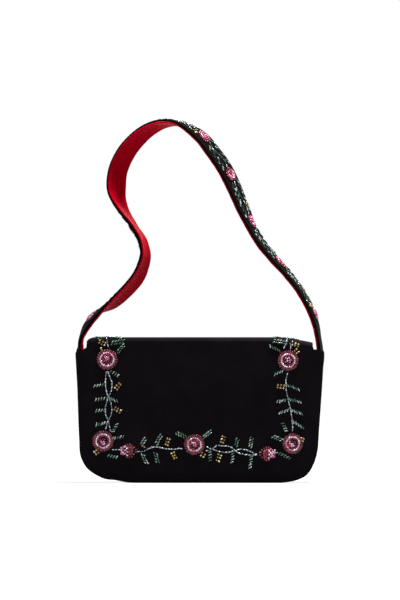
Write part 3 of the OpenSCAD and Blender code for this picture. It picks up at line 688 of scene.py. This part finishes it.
top_grid = np.meshgrid(np.linspace(-neck_x + 8, neck_x - 8, 70),
                       np.linspace(fold_z + bend_length + 0.5, top_middle, 12))
for word, wall, flip in (("front", flap_face, False), ("back", back_wall, True)):
    top_felt = laid_sheet(f"{word}_top_felt", wall, top_grid, cloth_t + 0.05, lining_depth - 0.05, flip=flip)
    dress(top_felt, felt, "felt", "flap_top", "flap_top_felt")


# Beads: round seed beads and long bugle beads of glass, sewn on one by one. Each is a short tube with
# rounded ends and a real hole, laid on the cloth along its thread.
def lined_glass(name, metallic, roughness):
    """Glass bead with a foil lining: clear glass gives a sharp gloss and the foil inside a bright colour,
    which differs from bead to bead and is read from the tint."""
    made, tree = new_material(name)
    tint = node(tree, "ShaderNodeVertexColor", layer_name="tint")
    place = node(tree, "ShaderNodeTexCoord").outputs["Object"]
    swirl = node(tree, "ShaderNodeTexNoise", {"Vector": place, "Scale": 1600.0, "Detail": 1.0})
    level = node(tree, "ShaderNodeMapRange", {0: swirl, 1: 0.3, 2: 0.7, 3: 0.72, 4: 1.12})
    colour = node(tree, "ShaderNodeVectorMath", {0: tint, "Scale": level}, operation="SCALE")
    return finished(made, {"Base Color": colour, "Metallic": metallic, "Roughness": roughness, "IOR": 1.52,
                           "Coat Weight": 0.35, "Coat Roughness": 0.04})


glass = {"rose_glass": lined_glass("ruby_lined_glass", 0.35, 0.22),
         "green_glass": lined_glass("emerald_lined_glass", 0.35, 0.2),
         "gold_glass": lined_glass("gold_lined_glass", 0.6, 0.24),
         "silver_glass": lined_glass("silver_lined_glass", 0.6, 0.22)}
# A bead's section, from its hole's rim over the outside and back through the hole: the place along the
# thread in shares of its length, and the distance from the thread in shares of half its width.
seed_profile = np.array([[-0.5, 0.62], [-0.36, 0.94], [0.0, 1.0], [0.36, 0.94], [0.5, 0.62],
                         [0.3, 0.36], [-0.3, 0.36]])
bugle_profile = np.array([[-0.5, 0.66], [-0.43, 1.0], [0.43, 1.0], [0.5, 0.66], [0.4, 0.4], [-0.4, 0.4]])
bead_sides = 9
chance = np.random.default_rng(7)


def unit(vectors):
    """Each row of vectors, brought to a length of one."""
    return vectors / np.linalg.norm(vectors, axis=1)[:, None]


class BeadRow:
    """Beads of one glass on one cloth, gathered before their mesh is made."""

    def __init__(self, cloth_at):
        self.cloth_at, self.rows = cloth_at, []

    def add(self, x, q, angle, length, width, tint, end=None, lift=0.0):
        """Lays a bead at two cloth coordinates, turned by an angle in degrees, with the colours of its
        two ends. Sewn by hand, it lies a tenth of a millimetre or two and a few degrees off."""
        x, q, angle = x + chance.normal(0, 0.14), q + chance.normal(0, 0.14), angle + chance.normal(0, 6)
        self.rows.append([x, q, math.radians(angle), length, width, lift,
                          *linear(tint), *linear(end or tint)])

    def sew(self, name, slot_name, profile, moves_with, cad_node, bend=None):
        """Makes the beads as one mesh. Each bead's directions on the cloth come from the cloth's slope, and
        its closed profile is turned round the direction of its thread."""
        rows = np.array(self.rows)
        x, q, angle, length, width, lift = rows[:, :6].T
        near = 0.2
        right = (self.cloth_at(x + near, q) - self.cloth_at(x - near, q)) / (2 * near)
        onward = (self.cloth_at(x, q + near) - self.cloth_at(x, q - near)) / (2 * near)
        up = unit(np.cross(right, onward))
        along = unit(np.cos(angle)[:, None] * right + np.sin(angle)[:, None] * onward)
        place = self.cloth_at(x, q) + up * (width * 0.5 + lift)[:, None]
        across = unit(np.cross(up, along))
        up = np.cross(along, across)
        turn = (np.arange(bead_sides) * 2 * math.pi / bead_sides)[None, None, :, None]
        ring = np.cos(turn) * across[:, None, None, :] + np.sin(turn) * up[:, None, None, :]
        stations = profile[None, :, 0, None] * length[:, None, None] * along[:, None, :]
        radii = profile[None, :, 1] * width[:, None] / 2
        points = (place[:, None, :] + stations)[:, :, None, :] + radii[:, :, None, None] * ring
        share = np.clip(profile[:, 0] + 0.5, 0, 1)[None, :, None]
        tint = rows[:, None, 6:10] * (1 - share) + rows[:, None, 10:14] * share
        count = len(profile) * bead_sides
        index = np.arange(count).reshape(len(profile), bead_sides)
        onto = np.roll(index, -1, 0)
        quads = np.stack([index, np.roll(index, -1, 1), np.roll(onto, -1, 1), onto], -1).reshape(-1, 4)
        faces = (quads[None] + (np.arange(len(rows)) * count)[:, None, None]).reshape(-1, 4)
        tint = np.repeat(tint, bead_sides, 1).reshape(-1, 4)
        made = put_mesh(name, points.reshape(-1, 3), faces, tint=tint)
        made.data.flip_normals()
        dress(made, glass[slot_name], slot_name, moves_with, cad_node, bend=bend)


def flap_bead_cloth(x, q):
    """The flap's face, as the beads find it."""
    return flap_face(x, q, 0)


# The roses: a centre cluster of pale pink beads, a dark garnet ring, a bright ring of pale pink beads and
# a wide outer band of crimson beads that stand slanted to the ring.
pale_pinks = ["#f9bcd5", "#ee94bb", "#fff0f6", "#e07fa9", "#fcd6e5", "#f2a9c9"]
hot_pinks = ["#ee7fb4", "#f3a8cc", "#ffe2f0", "#dd5fa0", "#b03478"]
rubies = ["#94234a", "#661432", "#b95680", "#4a0f28", "#7c1c40", "#d884a8"]
crimsons = ["#6e1029", "#8a1a36", "#520c1e", "#9a2c46", "#7a1630", "#ac4256"]
dark_crimsons = ["#560b1e", "#6c122a", "#420817", "#7c2036"]


def pick(colours):
    """One colour of a list by chance, the same in every run."""
    return colours[int(chance.integers(len(colours)))]


def ring_of_beads(row, x, q, radius, count, length, width, colours, slant, lift=0.0):
    """Beads at equal steps round a ring, each turned from the ring's own direction by a slant."""
    for k in range(count):
        turn = 360 * k / count
        row.add(x + radius * math.cos(math.radians(turn)), q + radius * math.sin(math.radians(turn)),
                turn + 90 + slant, length, width, pick(colours), lift=lift)


def rose(row, x, q, off_x, off_q):
    """One rose of 22.2 mm, its rings in shares of its radius, with its centre cluster off the middle."""
    r = 11.1
    ring_of_beads(row, x, q, r * 0.88, 28, 2.7, 1.9, dark_crimsons, 58)
    ring_of_beads(row, x, q, r * 0.76, 24, 2.3, 1.8, crimsons, 30, lift=0.2)
    ring_of_beads(row, x, q, r * 0.62, 18, 2.45, 2.0, pale_pinks, 0, lift=0.5)
    ring_of_beads(row, x, q, r * 0.45, 14, 2.1, 1.7, rubies[:5], 15, lift=0.2)
    ring_of_beads(row, x + off_x / 3, q + off_q / 3, r * 0.27, 8, 1.9, 1.9, rubies, 0, lift=0.4)
    for dx, dq, turn in ((0, 0, 20), (1.6, 0.7, 80), (-1.5, 1.0, -40), (0.3, -1.7, 130), (2.2, -1.2, 60)):
        row.add(x + off_x + dx, q + off_q + dq, turn, 1.9, 2.0, pick(hot_pinks[:4]), lift=0.9)


flap_roses = BeadRow(flap_bead_cloth)
for place in ((-96.6, 129.2, -1.2, 1.4), (92.2, 127.9, -0.8, 1.6), (-100.5, 44.0, -0.9, -1.6),
              (-5.6, 40.3, -0.9, 1.3), (97.2, 41.4, -1.6, -0.8)):
    rose(flap_roses, *place)
flap_roses.sew("flap_rose_beads", "rose_glass", seed_profile, "flap_front", "flap_roses")


# The two buds in the lower border: pale pink beads in zigzag on the side that opens, and a crimson body
# of slanted beads on the other, outlined by beads that stand out like small petals.
flap_buds = BeadRow(flap_bead_cloth)
for x, q, way in ((-75.2, 33.8, 1), (71.6, 30.8, -1)):
    # The petals, longest where the bud ends in a point.
    for k in range(10):
        turn = math.radians(-100 + 22 * k)
        out = 0.6 + 6.2 * math.cos(turn) + 2.2 * max(math.cos(turn), 0) ** 8
        flap_buds.add(x + way * out, q + 6.4 * math.sin(turn), 90 - way * (90 - math.degrees(turn)) + 12,
                      2.9, 1.8, pick(crimsons + dark_crimsons))
    # The body, in two arcs.
    for radius, beads in ((3.9, 9), (1.6, 4)):
        for k in range(beads):
            turn = math.radians(-110 + 220 * k / (beads - 1))
            flap_buds.add(x + way * (1.0 + radius * math.cos(turn)), q + radius * math.sin(turn), 35 * way,
                          2.5, 2.0, pick(crimsons), lift=0.3)
    # The open side, in two zigzag columns and a last straight one.
    for k in range(6):
        flap_buds.add(x - way * (0.6 + 1.9 * (k % 2)), q - 4.8 + 1.9 * k, 40 if k % 2 else -35,
                      2.3, 2.1, pick(pale_pinks), lift=0.6)
    for k in range(5):
        flap_buds.add(x - way * (4.0 + 0.9 * (k % 2)), q - 3.8 + 1.9 * k, -40 if k % 2 else 35,
                      2.3, 2.0, pick(hot_pinks[:3] + rubies[2:3]), lift=0.4)
    for k in range(4):
        flap_buds.add(x - way * 6.6, q - 3.4 + 2.2 * k, 70,
                      2.2, 1.9, pick(hot_pinks + crimsons[:2]), lift=0.2)
flap_buds.sew("flap_bud_beads", "rose_glass", seed_profile, "flap_front", "flap_buds")


# The vine: silver bugle beads end to end from rose to rose, single on the right and at the lower left,
# and in two strands that cross and part on the left and at the lower right.
# Silver-lined greys, with one near-white that is a painted glint.
silvers_and_glints = ["#738490", "#8f9faa", "#54646e", "#aebdc6", "#eef4f7", "#6a858c", "#c8d2d8"]


def smooth_line(values, t):
    """Values between the rows of a list on a Catmull-Rom curve, which passes through every row."""
    values = np.asarray(values, float)
    last = len(values) - 1
    i = np.clip(np.floor(t).astype(int), 0, last - 1)
    f = t - i
    a, b = values[np.maximum(i - 1, 0)], values[i]
    c, d = values[i + 1], values[np.minimum(i + 2, last)]
    return 0.5 * (2 * b + (c - a) * f + (2 * a - 5 * b + 4 * c - d) * f ** 2
                  + (3 * b - 3 * c + d - a) * f ** 3)


def strand(row, points, bead_length, width=1.3, colours=silvers_and_glints):
    """Bugle beads end to end along a smooth line through a list of points: the line is cut into equal
    lengths, and a bead spans each but for a small gap."""
    gap, steps = 0.45, 40
    points = np.array(points, float)
    fine = np.linspace(0, len(points) - 1, steps * (len(points) - 1) + 1)
    line = np.stack([smooth_line(points[:, k], fine) for k in (0, 1)], 1)
    run = np.concatenate([[0], np.cumsum(np.linalg.norm(np.diff(line, axis=0), axis=1))])
    count = max(1, int(round(run[-1] / (bead_length + gap))))
    ends = np.stack([np.interp(np.linspace(0, run[-1], count + 1), run, line[:, k]) for k in (0, 1)], 1)
    for a, b in zip(ends[:-1], ends[1:]):
        middle, step = (a + b) / 2, b - a
        row.add(middle[0], middle[1], math.degrees(math.atan2(step[1], step[0])),
                float(np.linalg.norm(step)) - gap, width, pick(colours), pick(colours))


flap_vine = BeadRow(flap_bead_cloth)
for points in (
        [(-97.1, 117), (-97.8, 112), (-98.3, 106), (-98, 100), (-96.8, 94), (-94.9, 90), (-93.3, 86),
         (-91.8, 80), (-91.6, 75), (-93.2, 69.5), (-95.1, 65.4), (-96.4, 61), (-98, 56)],
        [(-96, 117), (-94.6, 113), (-92.5, 108), (-91.4, 102), (-92.3, 96), (-94.9, 90), (-96.6, 86),
         (-98.3, 80), (-98.5, 75), (-97.1, 69.5), (-95.1, 65.4), (-94, 60), (-92.6, 53.8)],
        [(-91.8, 35), (-87.5, 34.8), (-83, 35)],
        [(-65.5, 33), (-60, 33), (-52, 36.5), (-47, 37.8), (-38, 36.5), (-30, 35.5), (-22, 36),
         (-17.5, 36.5)],
        [(6.3, 33.6), (12.9, 35.8), (16.2, 38.4), (20.4, 39.6), (25.4, 38.8), (29.6, 38.8), (33.8, 37.1),
         (36.7, 34.3), (42, 31), (50, 29.5), (57, 29), (60, 30)],
        [(7, 38.2), (12.9, 35.6), (16.2, 34.2), (21.2, 33), (26.3, 32.1), (31.3, 32.5), (36.7, 34.1),
         (43, 35.5), (50, 34.5), (57, 31), (60, 30)],
        [(91.5, 115.6), (90, 108), (89.8, 101), (91.5, 91), (93.5, 81.5), (95, 74), (96, 69), (96.8, 61),
         (97, 54)],
        [(79, 31.7), (82, 31.9)]):
    strand(flap_vine, points, 2.9)
flap_vine.sew("flap_vine_beads", "silver_glass", bugle_profile, "flap_front", "flap_vine")


# The leaves: short rows of slanted bugle beads that stand beside the vine, green with near-white
# painted glints at some ends, and gold ones made of pairs of seed beads, some with a pale gold painted glint.
greens = ["#24573d", "#2f6a4b", "#1c4430", "#47806a", "#16382a", "#3c7458"]
# Near-white greens: painted glints, laid on one or both ends of some beads.
painted_green_glints = ["#b5d6c4", "#dcebe2", "#86b39b", "#f4faf6"]
golds = ["#8f7436", "#ad8f4c", "#665226", "#ccb06c", "#7c6436"]
# Pale golds: painted glints, laid on one end of some gold beads.
painted_gold_glints = ["#f6ecce", "#ead8a6", "#cfb478"]


def bugle_leaf(row, x, q, direction, count, slant, colours, tips, pitch=2.9, length=4.0):
    """A leaf of bugle beads at equal steps along a direction, each turned from it by a slant, with its
    outer end in one of the tip colours, of which the near-white ones are painted glints. Where the slant
    is small the beads are short and lie in two rows."""
    ux, uq = math.cos(math.radians(direction)), math.sin(math.radians(direction))
    for k in range(count):
        for side in (-1, 1) if abs(slant) < 36 else (0,):
            step = (k - (count - 1) / 2 + 0.25 * side) * pitch
            row.add(x + step * ux - side * 1.2 * uq, q + step * uq + side * 1.2 * ux, direction + slant,
                    2.9 if side else length, 1.25, pick(colours), pick(tips))


def paired_leaf(row, x, q, direction, count, colours, tips):
    """A leaf of seed beads in pairs: at equal steps along a direction, two beads side by side."""
    ux, uq = math.cos(math.radians(direction)), math.sin(math.radians(direction))
    for k in range(count):
        step = (k - (count - 1) / 2) * 3.1
        for side in (-1, 1):
            row.add(x + step * ux - side * 1.3 * uq, q + step * uq + side * 1.3 * ux, direction + 62,
                    2.2, 2.0, pick(colours), pick(tips))


# Each green leaf: its middle's place, direction, count of beads and slant. Each gold one has no slant.
flap_green, flap_gold = BeadRow(flap_bead_cloth), BeadRow(flap_bead_cloth)
for place in (
        (-105.5, 102, 12, 4, 50), (-102.5, 88, 10, 5, 55), (-103.5, 76, 10, 4, 52), (-102, 62, 14, 5, 50),
        (-89, 114.5, -32, 4, 80), (-90.5, 87.5, -22, 4, -40), (-88.5, 57.5, 62, 4, -45),
        (-85.5, 47.5, 10, 5, 50), (-91, 28, -14, 4, 60), (-59, 43, 62, 3, -28), (-57.5, 25.5, -66, 4, 26),
        (-43, 45.5, 62, 4, -28), (-45, 26.5, -78, 4, 30), (-19.5, 50.5, -28, 4, -34), (7.5, 51, 38, 4, 8),
        (10.8, 28.2, -85, 4, 108), (38.5, 42.5, 78, 3, -28), (34, 26.5, -95, 4, 120),
        (53.5, 42.5, 82, 4, -32), (53, 22, -98, 5, 120), (88.5, 28.6, -24, 5, 66),
        (82.5, 115.5, 205, 4, 45), (85, 86, 190, 4, 52),
        (87.5, 75, 200, 4, 45), (88.5, 58.5, 118, 4, 62), (97.5, 100, -20, 5, -38), (99.5, 86, -14, 5, -42),
        (101.5, 74.5, -20, 5, -42), (103, 61, -32, 5, -38), (81.5, 47, 155, 4, 30)):
    # The outer ends are mostly near-white painted glints.
    bugle_leaf(flap_green, *place, greens, greens[1:2] + painted_green_glints)
for place in (
        (-85.3, 101, 50, 3), (-85.8, 76.5, -30, 3), (-107, 32.5, -50, 2), (-59, 38.5, 60, 1),
        (-33.5, 43, 72, 3), (-27, 28.8, -65, 3), (3.2, 29.5, -30, 2), (24.3, 45.5, 75, 3),
        (20, 26.5, -110, 3), (84.5, 101, 175, 3), (107, 45.5, 75, 2)):
    # Some bead ends are pale gold, a painted glint.
    paired_leaf(flap_gold, *place, golds, golds + painted_gold_glints)
flap_green.sew("flap_green_leaf_beads", "green_glass", bugle_profile, "flap_front", "flap_green_leaves")
flap_gold.sew("flap_gold_leaf_beads", "gold_glass", seed_profile, "flap_front", "flap_gold_leaves")


# Beads over the front bend: the border goes on from the two upper roses, over the bend and on to the
# flap's top. Like the cloth, these beads are given the front bend and baked where they stand.
bend_green, bend_gold, bend_silver = (BeadRow(flap_bead_cloth) for _ in range(3))
for place in (
        (-85.5, 147, 8, 5, 30), (-82.5, 140.5, 48, 4, -30), (-100, 153.5, 20, 5, 40), (-89, 154, 160, 6, 40),
        (-84, 160, 60, 5, 40), (-96, 162, 110, 5, -40), (-106, 158, 60, 5, 40), (-88, 169, 20, 5, 40),
        (-101, 169, 150, 5, 40), (83.5, 147.8, -4, 5, 22), (78.5, 140.5, -28, 5, -40), (81, 157, 60, 5, 40),
        (90, 161, 110, 5, -40), (99, 159, 60, 5, 40), (84, 169, 20, 5, 40), (97, 169, 150, 5, 40)):
    # Some outer ends are near-white painted glints.
    bugle_leaf(bend_green, *place, greens, greens + painted_green_glints[:3])
for place in ((-101.5, 146.3, -25, 3), (-102.5, 139.5, 25, 1), (99.5, 146.5, -12, 3), (101, 137.5, -50, 2)):
    # Some bead ends are pale gold, a painted glint.
    paired_leaf(bend_gold, *place, golds, golds + painted_gold_glints)
for points in ([(-95.8, 141.5), (-96.2, 146), (-97, 154), (-93, 162), (-95, 171)],
               [(87.6, 140.5), (89.2, 144), (91.3, 147.5), (90, 155), (93, 163), (91, 171)],
               [(94.6, 140), (95.2, 144), (94.2, 148)]):
    strand(bend_silver, points, 3.4)
for row, name, slot_name, profile in ((bend_green, "bend_green_beads", "green_glass", bugle_profile),
                                      (bend_gold, "bend_gold_beads", "gold_glass", seed_profile),
                                      (bend_silver, "bend_silver_beads", "silver_glass", bugle_profile)):
    row.sew(name, slot_name, profile, ("flap_top", "flap_front"), "flap_top_beads", bend=front_bend)


# The strap: a band of black crepe, turned over a soft core and lined with red satin. Both its ends are
# sewn into the gusset, and from there it stands up in a loop that leans and twists.
# Each row of its route: across and up from the left shoulder's height in mm, and the turn in degrees.
strap_route = np.array([
    [-124.5, -12, 1], [-125, 0, 0], [-123.1, 12.5, -4], [-117.2, 25.4, -12], [-106.2, 37.2, -6],
    [-90.3, 48.2, 19], [-73.8, 63.9, 26], [-63.4, 77.3, 26], [-58.1, 90.9, 22], [-56.6, 102, 18],
    [-60.1, 116, 13], [-68.4, 129.7, 9], [-78.2, 144.5, 17], [-84.3, 156.6, 31], [-87.3, 170, 49],
    [-85.8, 186.9, 49], [-79.3, 202.6, 46], [-69.8, 215.8, 40], [-56.8, 227.7, 31], [-41.8, 235.3, 18],
    [-26, 236.6, 1], [-10.9, 231.1, -18], [2.3, 221.3, -29], [13.2, 207.8, -33], [25.3, 190.6, -35],
    [35.7, 169.8, -33], [44.8, 148, -28], [53.3, 129.2, -20], [63, 112.4, -18], [76.1, 96.1, -17],
    [90.7, 79.6, -14], [103.8, 62.3, -12], [114.5, 43.5, -12], [120.9, 26.8, -11], [123.8, 11.6, -8],
    [125.5, 0, -9], [125.5, -12, -9]])
strap_w, strap_padded, sewn_end = 24.0, 2.6, 25.0


def route_at(t):
    """Centre, heading and turn of the strap at a row of its route, with the heading from two places
    close by. The first and last rows only set the direction at the shoulders."""
    across, up, turn = (smooth_line(strap_route[:, k], t + 1) for k in range(3))
    step_x, step_z = (smooth_line(strap_route[:, k], t + 1.01) - smooth_line(strap_route[:, k], t + 0.99)
                      for k in (0, 1))
    return across, up, np.arctan2(step_z, step_x), np.radians(turn)


route_t = np.linspace(0, 34, 3401)
route_x, route_up = route_at(route_t)[:2]
route_run = np.concatenate([[0], np.cumsum(np.hypot(np.diff(route_x), np.diff(route_up)))])
strap_length = float(route_run[-1])


def strap_at(u, s, v):
    """Points of the strap, s along it in millimetres from the left shoulder, u across its width and v
    towards the inside of the loop. Over 12 mm below the shoulders its outer part thins to 0.62 and it
    turns straight. It goes down 2.9 mm inside the gusset's face, between the cloth and the lining."""
    across, up, heading, turn = route_at(np.interp(s, route_run, route_t))
    below = np.maximum(-s, 0) + np.maximum(s - strap_length, 0)
    sewn = blend_step(below, 0, 12)
    across = across * (1 - sewn) + np.sign(across) * (side_at(shoulder_z - below) - 2.9) * sewn
    turn = turn * (1 - sewn)
    v = np.where(v < 0, v * (1 - 0.38 * sewn), v)
    inwards = u * np.sin(turn) + v * np.cos(turn)
    x = across + inwards * np.sin(heading)
    z = shoulder_z + up - below - inwards * np.cos(heading)
    return np.stack([x, strap_y + u * np.cos(turn) - v * np.sin(turn), z], -1)


def strap_cup(u):
    """The band is a little hollow towards the inside of the loop: a parabola across its width."""
    return 0.9 * (1 - (u / (strap_w / 2)) ** 2)


def strap_band(name, section, start, end, pucker=0.0, swell=0.0):
    """Closed band: a closed section of u and v, carried along the strap from start to end, with a row of
    faces at each end. Pucker adds small cross ripples to the section's inner side, and swell thickens it
    over the first 15 mm, where the lining is gathered at the left root."""
    spacing = 1.2
    s = np.arange(start, end + spacing / 2, spacing)[:, None]
    u, v = section[:, 0][None, :], section[:, 1][None, :]
    inner = np.clip(v / 1.6, 0, 1)
    wrinkle = pucker * (np.sin(s / 2.3) * np.sin(s / 7.9) + np.sin(s / 3.7 + 1) * 0.6)
    cup = strap_cup(u) * (1 - blend_step(np.maximum(-s, s - strap_length), -8, 4))
    v = v + wrinkle * inner * (0.35 + (u / 12) ** 2) + swell * inner * (1 - blend_step(s, 1, 15)) - cup
    points = strap_at(*np.broadcast_arrays(u, s, v))
    rows, cols = points.shape[:2]
    index = np.arange(rows * cols).reshape(rows, cols)
    a, b = index[:-1], index[1:]
    faces = np.stack([a, np.roll(a, -1, 1), np.roll(b, -1, 1), b], -1).reshape(-1, 4)
    cap = np.array([[k, k + 1, cols - 2 - k, cols - 1 - k] for k in range(cols // 2 - 1)])
    girth = np.concatenate([[0], np.cumsum(np.linalg.norm(np.diff(section, axis=0), axis=1))])
    uv = np.stack([part.ravel() for part in np.broadcast_arrays(girth[None, :], s)], 1)
    faces = np.concatenate([faces, cap[:, ::-1], cap + index[-1, 0]])
    return put_mesh(name, points.reshape(-1, 3), faces, uv)


def round_section(u_edge, v_out, v_in, corner, steps):
    """Closed section of a flat band with rounded edges: points along the outer side and back along the
    inner one, in pairs that face each other."""
    bend = np.linspace(0, math.pi / 2, 4)
    side, rise = u_edge - corner * (1 - np.sin(bend)), corner * (1 - np.cos(bend))
    us = np.concatenate([-side[::-1], np.linspace(-(u_edge - corner), u_edge - corner, steps)[1:-1], side])
    rise = np.concatenate([rise[::-1], np.zeros(steps - 2), rise])
    return np.concatenate([np.stack([us, v_out + rise], 1), np.stack([us, v_in - rise], 1)[::-1]])


strap_cloth = strap_band("strap_crepe", round_section(strap_w / 2, -strap_padded, 0.0, 1.0, 11),
                         -sewn_end, strap_length + sewn_end)
strap_lining = strap_band("strap_lining_satin", round_section(strap_w / 2 + 0.1, 0.05, 1.6, 0.7, 15),
                          -2.0, strap_length + 2.0, pucker=0.08, swell=1.3)
strap_bend = dict(start=(0, strap_y / 1000, shoulder_z / 1000),
                  end=(0, strap_y / 1000, (shoulder_z + 29) / 1000))
# Between packed beads the crepe lies in their shade, so the strap's is drawn darker.
shaded_crepe = silk_crepe("shaded_black_silk_crepe", "#080607", "#120e10")
dress(strap_cloth, shaded_crepe, "black_cloth", ("bag", "strap"), "strap_cloth", "left_strap_root",
      "right_strap_root", "left_strap_end", "right_strap_end", bend=strap_bend)
dress(strap_lining, satin, "red_satin", ("bag", "strap"), "strap_lining", "strap_core", bend=strap_bend)


# The strap's beadwork: twelve small roses on the outer face, and between them a vine of silver and green
# beads, thick with green and gold leaves up to the strap's edges.
def strap_bead_cloth(u, s):
    """The strap's outer face, as the beads find it, with the first coordinate turned about so that the
    face's own outward direction comes from the two."""
    return strap_at(-u, s, -strap_padded - strap_cup(u))


dark_greens = ["#122a1e", "#1b3c2c", "#0d1f17", "#244739"]
strap_pinks = ["#cc3a74", "#e2609a", "#9a2450", "#ee90b8", "#b42c60", "#f8c4da"]
rose_row, vine_row, green_row, gold_row = (BeadRow(strap_bead_cloth) for _ in range(4))
rose_runs = np.interp([2.6, 5.0, 7.4, 9.9, 12.4, 14.9, 17.2, 21, 23.4, 25.8, 28.4, 31.4], route_t, route_run)
for s in rose_runs:
    ring_of_beads(rose_row, 0, s, 6.3, 16, 2.3, 1.5, crimsons + strap_pinks[:3], 50)
    ring_of_beads(rose_row, 0, s, 4.2, 12, 2.1, 1.8, strap_pinks, 10, lift=0.4)
    ring_of_beads(rose_row, 0, s, 2.1, 6, 1.9, 1.8, crimsons + strap_pinks[:2], 0, lift=0.5)
    rose_row.add(0, s, 0, 1.9, 2.0, pick(strap_pinks[3:]), lift=0.9)
# Between two roses, 8 mm clear of their middles, a pair of leaves stands every 6.4 mm or so.
for first, second in zip(rose_runs[:-1], rose_runs[1:]):
    start, end = first + 8, second - 8
    points = [(2.4 * math.sin(k * math.pi / 2.5), start + (end - start) * k / 5) for k in range(6)]
    # The strap vine's colours include the near-white painted glint.
    strand(vine_row, points, 3.0, width=1.2, colours=silvers_and_glints[2:5:2] + greens)
    leaves = int((end - start) / 6.4)
    for k in range(leaves):
        for side in (-1, 1):
            place = (start + (end - start) * (k + 0.5) / leaves + 1.4 * side, 90 - side * 38)
            if (2 * k + 3 * (side > 0)) % 7 == 1:
                paired_leaf(gold_row, side * 6.0, *place, 2, golds[2:], golds)
            else:
                # A few strap leaf beads have near-white painted glints at one or both ends.
                bugle_leaf(green_row, side * 6.2, *place, 3, side * 45, 2 * dark_greens + painted_green_glints[::3],
                           2 * dark_greens + greens[:2] + painted_green_glints[1::2], pitch=2.7, length=3.2)
rose_row.sew("strap_rose_beads", "rose_glass", seed_profile, "strap", "strap_roses")
vine_row.sew("strap_vine_beads", "silver_glass", bugle_profile, "strap", "strap_vine")
green_row.sew("strap_green_leaf_beads", "green_glass", bugle_profile, "strap", "strap_green_leaves")
gold_row.sew("strap_gold_leaf_beads", "gold_glass", seed_profile, "strap", "strap_gold_leaves")
